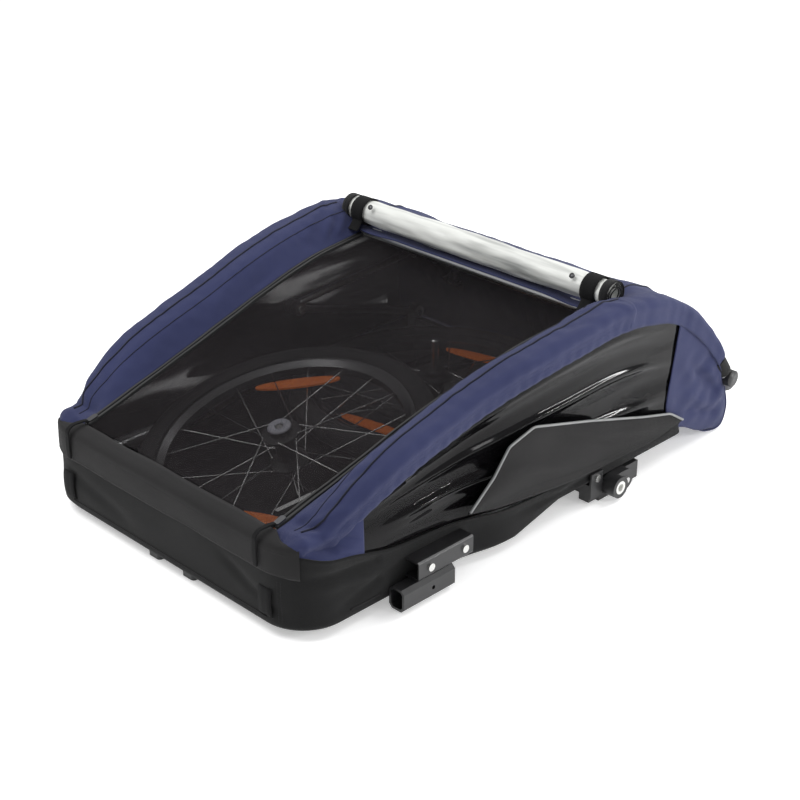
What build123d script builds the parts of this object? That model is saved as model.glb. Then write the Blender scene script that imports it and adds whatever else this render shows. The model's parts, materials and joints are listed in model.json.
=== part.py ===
"""Two-seat child bicycle trailer, folded flat for storage with both wheels stowed inside the tub.

Millimetres. +Z up, -Y is the front of the trailer, +X is its left side. The pieces are drawn about
the tub's own datum and written about the middle of the footprint, MIDDLE_Y behind that datum.
"""

from build123d import *

import math
import os

os.makedirs("parts", exist_ok=True)

# ---------------------------------------------------------------- driving dimensions
MIDDLE_Y = -20.7
GAP = 0.4                    # clearance between pieces that only touch

FABRIC = 2.5                 # tub wall
TUB_FRONT_Y = -517.0
TUB_REAR_Y = 310.0
TUB_FRONT_HALF = 300.0       # half width at the front corners
TUB_HALF = 320.0             # half width beside the seat
TUB_CORNER_R = 72.0
TUB_REAR_R = 16.0
FLARE_Y = (-205.0, -135.0)    # the tub widens between these
TUB_CHAMFER = 8.0            # sloped lower edge
WELL_Z = 12.0                # underside of the foot well
WELL_END_Y = -110.0
SEAT_FLOOR_Y = -10.0
SEAT_FLOOR_Z = 36.0
TUB_TOP = [(-520, 134), (-505, 134), (-470, 124), (-416, 112), (-363, 97), (-264, 87), (-200, 80),
           (-100, 72), (320, 64)]

RAIL_R = 12.5                # chassis tubes
RAIL_WALL = 1.6
RAIL_Z = 53.0
RAIL_X = 303.0
RAIL_FRONT_X = 281.0
RAIL_FRONT_Y = -400.0        # the rails end here and the front hoop begins
HOOP_Y = -496.0
HOOP_Z = 104.0
CROSSBAR_Y = 294.0

TUBE_R = 10.0                # roll-cage tubes
TUBE_WALL = 1.5
HINGE_Y = -474.0             # front hinge of the roll cage
HINGE_Z = 128.0
HINGE_X = 264.0
FOLD_DEG = 38.0              # how far the cage rises to its riding height
EYE_R = 12.0
EYE_WIDTH = 13.0
LUG = 4.0                    # thickness of a welded lug
PIN_R = 4.0
RUNNING = 0.05               # radial clearance of a pin in its eye

# Cage tube centre line, left side: x, y, z, and the bend radius at each inner corner.
CAGE = [(269, -460, 141), (284, -410, 180), (300, -200, 262), (322, -10, 306), (326, 140, 314),
        (322, 260, 276), (320, 345, 204), (320, 414, 114)]
CAGE_BENDS = [100, 300, 400, 60, 160, 200]
# Zip line between windscreen and canopy: y, half width, height.
ZIP = [(-488, 222, 149), (-360, 226, 185), (-200, 232, 231), (-100, 240, 257), (0, 248, 277), (118, 254, 288)]
ZIP_TAPE = 12.0
CLOTH = 1.6                  # canopy cloth
SLIDER_Y = -476.0           # zip sliders, closed
PULL_Y = -523.0
PULL_DROP = 52.0
SKIRT = 43.0                 # how far the canopy hangs below its ridge at the side
RIDGE_RISE = 15.0            # outer cloth above the cage tube's centre line
ROOF_START_Y = 121.0

HEADER_Y = 139.0
HEADER_Z = 288.0
ROLL_Z = 327.0
ROLL_R = 22.0
ROLL_HALF = 290.0
STRAP_X = 254.0
STRAP_WIDTH = 28.0

WHEEL_R = 240.0
TYRE_R = 20.0
TYRE_WALL = 3.0
RIM_R = 206.0
RIM_DEEP = 16.0
HUB_HALF = 40.0
HUB_BARREL_R = 16.0
FLANGE_R = 30.0
FLANGE_H = 28.0
CAP_R = 18.0
AXLE_R = 6.35                # wheel axle, plugs into the axle bush
AXLE_OUT = 55.0
BUTTON_TRAVEL = 4.0
HUB_BUTTON_R = 5.0
SPOKES = 20
SPOKE_R = 1.1
REFLECTOR = (70.0, 11.0, 3.6)      # half length, half height, thickness
REFLECTOR_RADIUS = 158.0
FRONT_REFLECTORS = (67, 230)         # degrees about each wheel's own axis
REAR_REFLECTORS = (103, 278)
FRONT_WHEEL = (0.0, -279.0, 114.5)
FRONT_TILT = 16.0            # degrees, its rear edge lies over the other wheel
REAR_WHEEL = (8.0, 40.0, 101.0)

AXLE_Y = 113.0
AXLE_Z = 24.0
AXLE_FACE_X = 345.0
BUSH_LENGTH = 44.0
BUSH_R = 11.0
BORE_R = 6.4
BOSS_R = 18.0
RELEASE_DY = 27.0            # release button, behind the bush
RELEASE_R = 5.0
BEAM_X = 262.0
BEAM_WIDTH = 36.0
BEAM_BOTTOM = 8.0

LEG_R = 6.0
LEG_WALL = 1.2
LOWER_LEG = 305.0
REAR_PIVOT = (280.0, 90.0)   # y, z of the lower leg's pivot on the chassis
TOP_PIVOT = (285.0, 205.0)   # y, z of the upper leg's pivot on the cage, folded
LOWER_LEG_X = 268.0
UPPER_LEG_X = 284.5

HANDLE_PIVOT = (421.0, 106.0)
HANDLE_DROP_DEG = 40.0       # the arms point down and back
HANDLE_ARM = 66.0
HANDLE_X = 303.0
HANDLE_R = 9.0
GRIP_R = 14.0

BRACKET_Y = (-324.0, -212.0)
BRACKET_Z = (40.0, 70.0)
BRACKET_X = (303.2, 329.0)
BRACKET_WALL = 3.0
BRACKET_SCREWS = (-300.0, -230.0)
RECEIVER_Y = (-357.0, -254.0)
RECEIVER_SIZE = (30.0, 36.0)
RECEIVER_WALL = 4.0
RECEIVER_PIN_Y = -298.0
RECEIVER_PIN_R = 3.2
SCREW_R = 3.0
SCREW_HEAD_R = 6.0

YZ = (0, 1, 0)               # in-plane direction of every side view


def save(part, name):
    """Labels one finished piece and writes it about the middle of the footprint."""
    placed = part.moved(Location((0, -MIDDLE_Y, 0)))
    placed.label = name
    export_step(placed, f"parts/{name}.step")


def save_pair(part, name):
    """Writes a left piece and its mirror image as two pieces."""
    save(part, f"{name}_left")
    save(mirror(part, about=Plane.YZ), f"{name}_right")


def save_both(part, name):
    """Writes a left piece and its mirror image as one group."""
    with BuildPart() as both:
        add(part)
        add(mirror(part, about=Plane.YZ))
    save(both.part, name)


def along(points, y, column):
    """Value of one column of a y-sorted table at y, by straight runs."""
    for before, after in zip(points, points[1:]):
        if before[0] <= y <= after[0]:
            share = (y - before[0]) / (after[0] - before[0])
            return before[column] + (after[column] - before[column]) * share
    return points[0][column] if y < points[0][0] else points[-1][column]


CAGE_BY_Y = [(y, x, z) for x, y, z in CAGE]


def cage_x(y):
    """Half width of the cage tube's centre line at y."""
    return along(CAGE_BY_Y, y, 1)


def cage_z(y):
    """Height of the cage tube's centre line at y."""
    return along(CAGE_BY_Y, y, 2)


def ridge_z(y):
    """Height of the outer cloth over the cage tube at y, an even distance off the sloping tube."""
    slope = math.atan2(cage_z(y + 8) - cage_z(y - 8), 16)
    return cage_z(y) + RIDGE_RISE / math.cos(slope)


def raised(y, z, degrees):
    """A cage point after the cage has turned about its front hinge."""
    a = math.radians(degrees)
    dy, dz = y - HINGE_Y, z - HINGE_Z
    return (HINGE_Y + dy * math.cos(a) - dz * math.sin(a), HINGE_Z + dy * math.sin(a) + dz * math.cos(a))


def knee_point():
    """Where the two rear legs meet when folded, forward of the line between their outer pivots."""
    upper = math.dist(REAR_PIVOT, raised(*TOP_PIVOT, FOLD_DEG)) - LOWER_LEG
    d = math.dist(REAR_PIVOT, TOP_PIVOT)
    run = (LOWER_LEG**2 - upper**2 + d**2) / (2 * d)
    off = math.sqrt(LOWER_LEG**2 - run**2)
    uy, uz = (TOP_PIVOT[0] - REAR_PIVOT[0]) / d, (TOP_PIVOT[1] - REAR_PIVOT[1]) / d
    return (REAR_PIVOT[0] + run * uy - off * uz, REAR_PIVOT[1] + run * uz + off * uy)


KNEE = knee_point()


def straight_tube(start, end, radius, wall):
    """A straight tube from start to end."""
    along_tube = Vector(end) - Vector(start)
    with BuildPart() as made:
        with BuildSketch(Plane(origin=start, z_dir=along_tube)):
            Circle(radius)
            Circle(radius - wall, mode=Mode.SUBTRACT)
        extrude(amount=along_tube.length)
    return made.part


def tube(points, bends, radius, wall):
    """A bent tube along points, with one bend radius for each inner corner. Wall 0 makes a rod."""
    with BuildPart() as made:
        with BuildLine() as path:
            FilletPolyline(*points, radius=bends)
        with BuildSketch(Plane(origin=path.line @ 0, z_dir=path.line % 0)):
            Circle(radius)
            if wall:
                Circle(radius - wall, mode=Mode.SUBTRACT)
        sweep()
    return made.part


def ring_x(x, y, z, width, outer, hole):
    """A round boss centred at x along X, with a hole through it unless hole is 0."""
    with BuildPart() as made:
        with BuildSketch(Plane(origin=(x - width / 2, y, z), x_dir=YZ, z_dir=(1, 0, 0))):
            Circle(outer)
            if hole:
                Circle(hole, mode=Mode.SUBTRACT)
        extrude(amount=width)
    return made.part


def plate_x(outline, x0, thickness):
    """A flat plate standing in the YZ plane, from x0 outwards."""
    with BuildPart() as made:
        with BuildSketch(Plane(origin=(x0, 0, 0), x_dir=YZ, z_dir=(1, 0, 0))):
            with BuildLine():
                Polyline(*outline, close=True)
            make_face()
        extrude(amount=thickness)
    return made.part


def block(x, y, z):
    """A box between three pairs of coordinates."""
    with BuildPart() as made:
        with Locations(((x[0] + x[1]) / 2, (y[0] + y[1]) / 2, (z[0] + z[1]) / 2)):
            Box(x[1] - x[0], y[1] - y[0], z[1] - z[0])
    return made.part


def ribbon(points, thickness):
    """Outline of a strip of even thickness that lies to the right of an open line of 2-D points."""
    inner = []
    for i, (u, v) in enumerate(points):
        before, after = points[max(i - 1, 0)], points[min(i + 1, len(points) - 1)]
        du, dv = after[0] - before[0], after[1] - before[1]
        length = math.hypot(du, dv)
        inner.append((u + thickness * dv / length, v - thickness * du / length))
    return list(points) + inner[::-1]


def sheet_x(points, thickness, half):
    """A sheet of even thickness along X, whose side view is an open line of (y, z) points."""
    return plate_x(ribbon(points, thickness), -half, 2 * half)


def lofted(stations):
    """A strip through outlines of (x, z) points, each standing at its own y."""
    with BuildPart() as made:
        for y, outline in stations:
            with BuildSketch(Plane(origin=(0, y, 0), x_dir=(1, 0, 0), z_dir=(0, -1, 0))):
                with BuildLine():
                    Polyline(*outline, close=True)
                make_face()
        loft(ruled=True)
    return made.part


# ---------------------------------------------------------------- fabric tub
def tub_block(inset, top):
    """The tub's outer volume up to top, or its hollow when inset by the cloth's thickness."""
    y0, y1 = TUB_FRONT_Y + inset, TUB_REAR_Y - inset
    half, front = TUB_HALF - inset, TUB_FRONT_HALF - inset
    floor, rear_floor = WELL_Z + inset, SEAT_FLOOR_Z + inset
    left = [(front, y0), (front + 2, FLARE_Y[0]), (half, FLARE_Y[1]), (half, y1)]
    bends = [TUB_CORNER_R - inset, 200, 200, TUB_REAR_R - inset]
    with BuildPart() as plan:
        with BuildSketch():
            with BuildLine():
                edge = FilletPolyline((0, y0), *left, (0, y1), radius=bends)
                mirror(edge, about=Plane.YZ)
            make_face()
        extrude(amount=top)
    side = [(y0, floor + TUB_CHAMFER), (y0 + TUB_CHAMFER, floor), (WELL_END_Y, floor),
            (SEAT_FLOOR_Y, rear_floor), (y1, rear_floor), (y1, top), (y0, top)]
    return plan.part & plate_x(side, -TUB_HALF, 2 * TUB_HALF)


with BuildPart() as tub_shell:
    add(tub_block(0, 180))
    add(tub_block(FABRIC, 190), mode=Mode.SUBTRACT)
    add(plate_x(TUB_TOP + [(320, 200), (-520, 200)], -400, 800), mode=Mode.SUBTRACT)
save(tub_shell.part, "tub_shell")

# ---------------------------------------------------------------- chassis
def chassis_rail():
    """The left side rail, with the lug that carries the rear leg welded to it."""
    points = [(RAIL_X, CROSSBAR_Y - RAIL_R - GAP, RAIL_Z), (RAIL_X, FLARE_Y[1] + 5, RAIL_Z),
              (RAIL_FRONT_X, FLARE_Y[0] - 5, RAIL_Z), (RAIL_FRONT_X, RAIL_FRONT_Y, RAIL_Z)]
    y, z = REAR_PIVOT
    lug_x = LOWER_LEG_X + EYE_WIDTH / 2 + GAP
    lug = [(y - EYE_R, z), (y - EYE_R, RAIL_Z - 6), (y, RAIL_Z - 6), (y, RAIL_Z + 16), (y + EYE_R, z)]
    with BuildPart() as made:
        add(tube(points, [150, 150], RAIL_R, RAIL_WALL))
        add(plate_x(lug, lug_x, LUG))
        add(ring_x(lug_x + LUG / 2, y, z, LUG, EYE_R, 0))
        add(block((lug_x, RAIL_X - RAIL_R + 1), (y - EYE_R, y - EYE_R + 12), (RAIL_Z - 6, RAIL_Z + 2)))
        add(ring_x(lug_x, y, z, 4 * LUG, PIN_R, 0), mode=Mode.SUBTRACT)
    return made.part


save_pair(chassis_rail(), "chassis_rail")

with BuildPart() as front_hoop:
    hoop_points = [(RAIL_FRONT_X, RAIL_FRONT_Y, RAIL_Z), (RAIL_FRONT_X, HOOP_Y, HOOP_Z),
                   (-RAIL_FRONT_X, HOOP_Y, HOOP_Z), (-RAIL_FRONT_X, RAIL_FRONT_Y, RAIL_Z)]
    add(tube(hoop_points, [58, 58], RAIL_R, RAIL_WALL))
    add(block((-TUB_HALF, TUB_HALF), (RAIL_FRONT_Y, RAIL_FRONT_Y + 30), (0, 100)), mode=Mode.SUBTRACT)
    for side in (-1, 1):
        for face in (-1, 1):
            x = side * HINGE_X + face * (EYE_WIDTH / 2 + GAP + LUG / 2)
            lug = [(HINGE_Y + EYE_R, HINGE_Z), (HINGE_Y + EYE_R, 90),
                   (HINGE_Y - EYE_R, 96), (HINGE_Y - EYE_R, HINGE_Z)]
            add(plate_x(lug, x - LUG / 2, LUG))
            add(ring_x(x, HINGE_Y, HINGE_Z, LUG, EYE_R, 0))
            add(ring_x(x, HINGE_Y, HINGE_Z, LUG, PIN_R, 0), mode=Mode.SUBTRACT)
save(front_hoop.part, "front_hoop")

with BuildPart() as front_hinge_pin:
    add(ring_x(HINGE_X, HINGE_Y, HINGE_Z, EYE_WIDTH + 2 * GAP + 2 * LUG, PIN_R, 0))
    for face in (-1, 1):
        head_x = HINGE_X + face * (EYE_WIDTH / 2 + GAP + LUG + 1)
        add(ring_x(head_x, HINGE_Y, HINGE_Z, 2, PIN_R + 2, 0))

with BuildPart() as rear_crossbar:
    half = RAIL_X + 4
    add(straight_tube((-half, CROSSBAR_Y, RAIL_Z), (half, CROSSBAR_Y, RAIL_Z), RAIL_R, RAIL_WALL))
save(rear_crossbar.part, "rear_crossbar")

with BuildPart() as axle_beam:
    beam_y = (AXLE_Y - BEAM_WIDTH / 2, AXLE_Y + BEAM_WIDTH / 2)
    add(block((-BEAM_X, BEAM_X), beam_y, (BEAM_BOTTOM, SEAT_FLOOR_Z)))
    hollow_y = (beam_y[0] + 2, beam_y[1] - 2)
    add(block((-BEAM_X, BEAM_X), hollow_y, (BEAM_BOTTOM + 2, SEAT_FLOOR_Z - 2)), mode=Mode.SUBTRACT)
save(axle_beam.part, "axle_beam")

with BuildPart() as axle_housing:
    base_y = (AXLE_Y - 48, AXLE_Y + 75)
    add(block((BEAM_X, 320), (AXLE_Y - 23, AXLE_Y + 45), (0, SEAT_FLOOR_Z)))
    add(block((300, 320), base_y, (6, SEAT_FLOOR_Z)))
    add(block((320, 323.4), (base_y[0], base_y[0] + 28), (12, 56)))
    with BuildSketch(Plane(origin=(320, AXLE_Y + RELEASE_DY / 2, AXLE_Z), x_dir=YZ, z_dir=(1, 0, 0))):
        SlotCenterToCenter(RELEASE_DY, 2 * BOSS_R)
    extrude(amount=14)
    with BuildSketch(Plane(origin=(320, AXLE_Y, AXLE_Z), x_dir=YZ, z_dir=(1, 0, 0))):
        Circle(BOSS_R)
    extrude(amount=AXLE_FACE_X - 320)
    add(ring_x(AXLE_FACE_X - BUSH_LENGTH / 2, AXLE_Y, AXLE_Z, BUSH_LENGTH, BUSH_R, 0), mode=Mode.SUBTRACT)
    add(ring_x(327, AXLE_Y + RELEASE_DY, AXLE_Z, 14, RELEASE_R + RUNNING, 0), mode=Mode.SUBTRACT)
save_both(axle_housing.part, "axle_housings")
save_both(ring_x(AXLE_FACE_X - BUSH_LENGTH / 2, AXLE_Y, AXLE_Z, BUSH_LENGTH, BUSH_R, BORE_R), "axle_bushes")
release_x = 320 + 14 + BUTTON_TRAVEL / 2 + 1 - 4
save_pair(ring_x(release_x, AXLE_Y + RELEASE_DY, AXLE_Z, 6 + BUTTON_TRAVEL, RELEASE_R, 0), "release_button")


# ---------------------------------------------------------------- seat and floor
with BuildPart() as seat_board:
    add(block((-284, 284), (5, CROSSBAR_Y - RAIL_R - 1), (SEAT_FLOOR_Z + FABRIC, 45)))
save(seat_board.part, "seat_board")

with BuildPart() as seat_back:
    add(block((-236, 236), (12, 272), (45, 60)))
    fillet(seat_back.edges(), 7)
save(seat_back.part, "seat_back")

with BuildPart() as harness_straps:
    for x in (-150, -90, 90, 150):
        add(block((x - 12, x + 12), (60, 236), (60.2, 62.2)))
save(harness_straps.part, "harness_straps")

with BuildPart() as harness_buckles:
    for x in (-120, 120):
        add(block((x - 17.8, x + 17.8), (80, 128), (60.2, 70)))
    fillet(harness_buckles.edges().filter_by(Axis.Z), 8)
save(harness_buckles.part, "harness_buckles")


# ---------------------------------------------------------------- outer fabric panels
PANEL = [(-218, 102), (-166, 143), (-134, 181), (-80, 194), (50, 157), (189, 114), (262, 94), (302, 68),
         (241, 60), (205, 58), (151, 60), (29, 64), (-45, 72)]
PANEL_X = TUB_HALF + GAP
save_both(plate_x(PANEL, PANEL_X, 3), "side_panels")

piping_path = [(PANEL_X + 5, y, z) for y, z in PANEL[:8]]
save_both(tube(piping_path, [12, 12, 20, 60, 80, 30], 2, 0), "panel_piping")

front_flap_outer = tub_block(-2.8, 180)
with BuildPart() as front_flap:
    add(front_flap_outer)
    add(tub_block(-0.2, 190), mode=Mode.SUBTRACT)
    add(block((-400, 400), (-440, 400), (-10, 250)), mode=Mode.SUBTRACT)
    add(block((-400, 400), (-560, 400), (-10, 98)), mode=Mode.SUBTRACT)
    add(block((-400, 400), (-560, 400), (141, 250)), mode=Mode.SUBTRACT)
save(front_flap.part, "front_flap")

with BuildPart() as corner_loop:
    add(block((216, 243), (TUB_FRONT_Y - 5, TUB_FRONT_Y - 3), (32, 76)))
    add(block((216, 243), (TUB_FRONT_Y - 3.5, TUB_FRONT_Y - 0.3), (32, 36)))
    add(block((216, 243), (TUB_FRONT_Y - 3.5, TUB_FRONT_Y - 0.3), (72, 76)))
save_both(corner_loop.part, "corner_loops")

with BuildPart() as front_foot:
    add(block((26, 54), (TUB_FRONT_Y + TUB_CHAMFER + 1, TUB_FRONT_Y + 40), (0, WELL_Z)))
    fillet(front_foot.edges().filter_by(Axis.Z), 6)
save_both(front_foot.part, "front_feet")


# ---------------------------------------------------------------- hitch
with BuildPart() as hitch_bracket:
    (bx0, bx1), (bz0, bz1) = BRACKET_X, BRACKET_Z
    add(block(BRACKET_X, BRACKET_Y, BRACKET_Z))
    fillet(hitch_bracket.edges().filter_by(Axis.Y).group_by(Axis.X)[-1], 4)
    cavity_z = (bz0 + BRACKET_WALL, bz1 - BRACKET_WALL)
    add(block((bx0 - 1, bx1 - BRACKET_WALL), BRACKET_Y, cavity_z), mode=Mode.SUBTRACT)
    for y in BRACKET_SCREWS:
        add(ring_x(bx1, y, 55, 12, SCREW_R, 0), mode=Mode.SUBTRACT)
save(hitch_bracket.part, "hitch_bracket")

with BuildPart() as screws:
    places = [(BRACKET_X[1], y, 55) for y in BRACKET_SCREWS] + [(323.4, AXLE_Y - 34, 46)]
    for x, y, z in places:
        add(ring_x(x + 1.4, y, z, 2.8, SCREW_HEAD_R, 0))
    for x, y, z in places[:2]:
        add(ring_x(x - 6, y, z, 12, SCREW_R, 0))
    add(ring_x(-323.4 - 1.4, AXLE_Y - 34, 46, 2.8, SCREW_HEAD_R, 0))
save(screws.part, "frame_screws")

receiver_x = BRACKET_X[0] + RECEIVER_SIZE[0] / 2
receiver_z = BRACKET_Z[0] - RECEIVER_SIZE[1] / 2
with BuildPart() as hitch_receiver:
    with BuildSketch(Plane(origin=(receiver_x, RECEIVER_Y[0], receiver_z), x_dir=(1, 0, 0), z_dir=(0, 1, 0))) as face:
        Rectangle(*RECEIVER_SIZE)
        chamfer(face.vertices(), 6)
        offset(amount=-RECEIVER_WALL, mode=Mode.SUBTRACT)
    extrude(amount=RECEIVER_Y[1] - RECEIVER_Y[0])
    add(ring_x(receiver_x, RECEIVER_PIN_Y, receiver_z, 40, RECEIVER_PIN_R, 0), mode=Mode.SUBTRACT)
save(hitch_receiver.part, "hitch_receiver")


# ---------------------------------------------------------------- roll cage
def cage_tube():
    """The left bent side tube with its front eye, leg lug and rear eye."""
    leg_y, leg_z = TOP_PIVOT
    plate_inner = UPPER_LEG_X + EYE_WIDTH / 2 + GAP
    top = cage_z(leg_y)
    arm_y, arm_z = HANDLE_PIVOT
    with BuildPart() as made:
        add(tube(CAGE, CAGE_BENDS, TUBE_R, TUBE_WALL))
        add(ring_x(HINGE_X, HINGE_Y, HINGE_Z, EYE_WIDTH, EYE_R, 0))
        neck = [(HINGE_Y, HINGE_Z - 7), (CAGE[0][1] + 8, CAGE[0][2] - 4), (CAGE[0][1] + 2, CAGE[0][2] + 8),
                (HINGE_Y, HINGE_Z + 7)]
        add(plate_x(neck, HINGE_X - EYE_WIDTH / 2, EYE_WIDTH))
        add(ring_x(HINGE_X, HINGE_Y, HINGE_Z, EYE_WIDTH, PIN_R + RUNNING, 0), mode=Mode.SUBTRACT)
        lug = [(leg_y - EYE_R, leg_z), (leg_y - EYE_R, top + 4), (leg_y + EYE_R, top - 8), (leg_y + EYE_R, leg_z)]
        add(plate_x(lug, plate_inner, LUG))
        add(ring_x(plate_inner + LUG / 2, leg_y, leg_z, LUG, EYE_R, 0))
        add(block((plate_inner, cage_x(leg_y) - TUBE_R + 2), (leg_y - EYE_R, leg_y + EYE_R), (top - 14, top - 6)))
        add(ring_x(plate_inner, leg_y, leg_z, 4 * LUG, PIN_R, 0), mode=Mode.SUBTRACT)
        add(ring_x(CAGE[-1][0], arm_y, arm_z, EYE_WIDTH, EYE_R, 0))
        add(ring_x(CAGE[-1][0], arm_y, arm_z, EYE_WIDTH, PIN_R, 0), mode=Mode.SUBTRACT)
    return made.part


save_pair(cage_tube(), "roll_cage_tube")
cage_rods = tube(CAGE, CAGE_BENDS, TUBE_R, 0)
cage_rods = cage_rods + mirror(cage_rods, about=Plane.YZ)

with BuildPart() as header_tube:
    shoulder = cage_x(HEADER_Y) - 34
    add(tube([(-cage_x(HEADER_Y) + 2, HEADER_Y, cage_z(HEADER_Y)), (-shoulder, HEADER_Y, HEADER_Z),
              (shoulder, HEADER_Y, HEADER_Z), (cage_x(HEADER_Y) - 2, HEADER_Y, cage_z(HEADER_Y))],
             [30, 30], TUBE_R, TUBE_WALL))
    add(cage_rods, mode=Mode.SUBTRACT)
save(header_tube.part, "header_tube")

with BuildPart() as rear_top_tube:
    rear_y = 362.0
    half = cage_x(rear_y) - 2
    add(straight_tube((-half, rear_y, cage_z(rear_y)), (half, rear_y, cage_z(rear_y)), TUBE_R - 1, TUBE_WALL))
    add(cage_rods, mode=Mode.SUBTRACT)
save(rear_top_tube.part, "rear_top_tube")


# ---------------------------------------------------------------- canopy
def zip_x(y):
    """Half width of the zip line at y."""
    return along(ZIP, y, 1)


def zip_z(y):
    """Height of the zip line at y."""
    return along(ZIP, y, 2)


def band_line(y):
    """The canopy's side section at y: from the zip over the cage tube and down the side."""
    x, z = cage_x(y), ridge_z(y)
    hem = max(z - SKIRT, along(TUB_TOP, y, 1) + 8)
    line = [(x - 5, z), (x + 9, z - 3), (x + 14, z - 9), (x + 11, hem)]
    if y < ROOF_START_Y:
        line = [(zip_x(y), zip_z(y))] + line
    return line


band_stations = [-480, -420, -320, -200, -100, -10, 60, ROOF_START_Y - 1]
save_pair(lofted([(y, ribbon(band_line(y), CLOTH)) for y in band_stations]), "canopy_band")

side_stations = [ROOF_START_Y, 140, 160, 210, 260, 300, 345, 385]
save_both(lofted([(y, ribbon(band_line(y), CLOTH)) for y in side_stations]), "roof_sides")

over_header = HEADER_Z + TUBE_R + 2.4
hood_profile = [(ROOF_START_Y - 1, over_header - 3), (130, over_header), (172, over_header), (200, ridge_z(200))]
roof_profile = [(y, ridge_z(y)) for y in (200, 245, 260, 275, 325, 345, 365, 385)]
with BuildPart() as canopy_roof:
    add(sheet_x(hood_profile, CLOTH, 282))
    add(sheet_x(roof_profile, CLOTH, cage_x(385) - 6))
save(canopy_roof.part, "canopy_roof")


def mesh_outline(y):
    """The windscreen's section at y, a flat strip between the zip tapes."""
    x, z = zip_x(y) - ZIP_TAPE - GAP, zip_z(y)
    return [(-x, z), (x, z), (x, z - 1), (-x, z - 1)]


def tape_outline(y):
    """The left zip tape's section at y."""
    x, z = zip_x(y) - 0.3, zip_z(y)
    return [(x - ZIP_TAPE, z), (x, z), (x, z - CLOTH), (x - ZIP_TAPE, z - CLOTH)]


zip_stations = [row[0] for row in ZIP]
save(lofted([(y, mesh_outline(y)) for y in zip_stations]), "windscreen_mesh")
save_both(lofted([(y, tape_outline(y)) for y in zip_stations]), "zip_tapes")

window_top = [(y, cage_z(y) + RIDGE_RISE - SKIRT - 3) for y in (-440, -320, -200, -100, -10, 140, 200, 260)]
window_bottom = [(y, along(TUB_TOP, y, 1) + 3) for y in (260, 140, -10, -150, -300, -440)]
save_both(plate_x(window_top + window_bottom, 308, 1.5), "side_windows")

rear_fold = [(392, 134), (428, 84), (448, 30), (436, 6), (392, 9), (340, 40), (322, 66)]
save(sheet_x(rear_fold, 3, 284), "rear_panel")

with BuildPart() as rain_cover_roll:
    with BuildSketch(Plane(origin=(-ROLL_HALF, HEADER_Y, ROLL_Z), x_dir=YZ, z_dir=(1, 0, 0))):
        Circle(ROLL_R)
    extrude(amount=2 * ROLL_HALF)
save(rain_cover_roll.part, "rain_cover_roll")
save_both(ring_x(STRAP_X, HEADER_Y, ROLL_Z, STRAP_WIDTH, ROLL_R + 2.2, ROLL_R + 0.2), "roll_straps")


# ---------------------------------------------------------------- zip sliders
slope = math.atan2(zip_z(-360) - ZIP[0][2], -360 - ZIP[0][0])
slider_x = zip_x(SLIDER_Y) - ZIP_TAPE / 2
slider_plane = Plane(origin=(slider_x, SLIDER_Y, zip_z(SLIDER_Y) + GAP),
                     x_dir=(0, math.cos(slope), math.sin(slope)), z_dir=(0, -math.sin(slope), math.cos(slope)))
with BuildPart() as zip_slider:
    with BuildSketch(slider_plane):
        RectangleRounded(18, 10, 4)
    extrude(amount=6)
save_pair(zip_slider.part, "zip_slider")

# Each pull leads forward from its slider, over the tub's edge, and hangs down outside it.
pull_z = zip_z(SLIDER_Y) + 4
pull_line = [(SLIDER_Y - 11, pull_z), (PULL_Y + 5, pull_z + 1), (PULL_Y, pull_z - 4), (PULL_Y, pull_z - PULL_DROP)]
save_pair(plate_x(ribbon(pull_line, -2), slider_x - 5, 10), "zip_pull")


# ---------------------------------------------------------------- rear legs
def leg(x, start, end, width):
    """A straight leg in a side plane, an eye at each end."""
    dy, dz = end[0] - start[0], end[1] - start[1]
    length = math.hypot(dy, dz)
    uy, uz = dy / length, dz / length
    trim = EYE_R - 3
    with BuildPart() as made:
        add(straight_tube((x, start[0] + trim * uy, start[1] + trim * uz),
                          (x, end[0] - trim * uy, end[1] - trim * uz), LEG_R, LEG_WALL))
        for y, z in (start, end):
            add(ring_x(x, y, z, width, EYE_R, 0))
            add(ring_x(x, y, z, width, PIN_R + RUNNING, 0), mode=Mode.SUBTRACT)
    return made.part


save_both(leg(LOWER_LEG_X, REAR_PIVOT, KNEE, EYE_WIDTH), "lower_legs")
save_both(leg(UPPER_LEG_X, TOP_PIVOT, KNEE, EYE_WIDTH), "upper_legs")

lower_pin_end = LOWER_LEG_X + EYE_WIDTH / 2 + GAP + LUG
upper_pin_end = UPPER_LEG_X + EYE_WIDTH / 2 + GAP + LUG


def pin(x0, x1, y, z):
    """A pin along X from a headed end at x0 to x1."""
    with BuildPart() as made:
        add(ring_x((x0 + x1) / 2, y, z, x1 - x0, PIN_R, 0))
        add(ring_x(x0 - 1, y, z, 2, PIN_R + 2, 0))
    return made.part


with BuildPart() as chassis_pins:
    add(front_hinge_pin.part)
    add(pin(LOWER_LEG_X - EYE_WIDTH / 2 - GAP, lower_pin_end, *REAR_PIVOT))
save_both(chassis_pins.part, "chassis_pins")

with BuildPart() as cage_pins:
    add(pin(UPPER_LEG_X - EYE_WIDTH / 2 - GAP, upper_pin_end, *TOP_PIVOT))
    add(pin(HANDLE_X - EYE_WIDTH / 2 - GAP, CAGE[-1][0] + EYE_WIDTH / 2, *HANDLE_PIVOT))
save_both(cage_pins.part, "cage_pins")

knee_end = LOWER_LEG_X + EYE_WIDTH / 2
save_both(pin(LOWER_LEG_X - EYE_WIDTH / 2, knee_end, *KNEE), "knee_pins")


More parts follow.
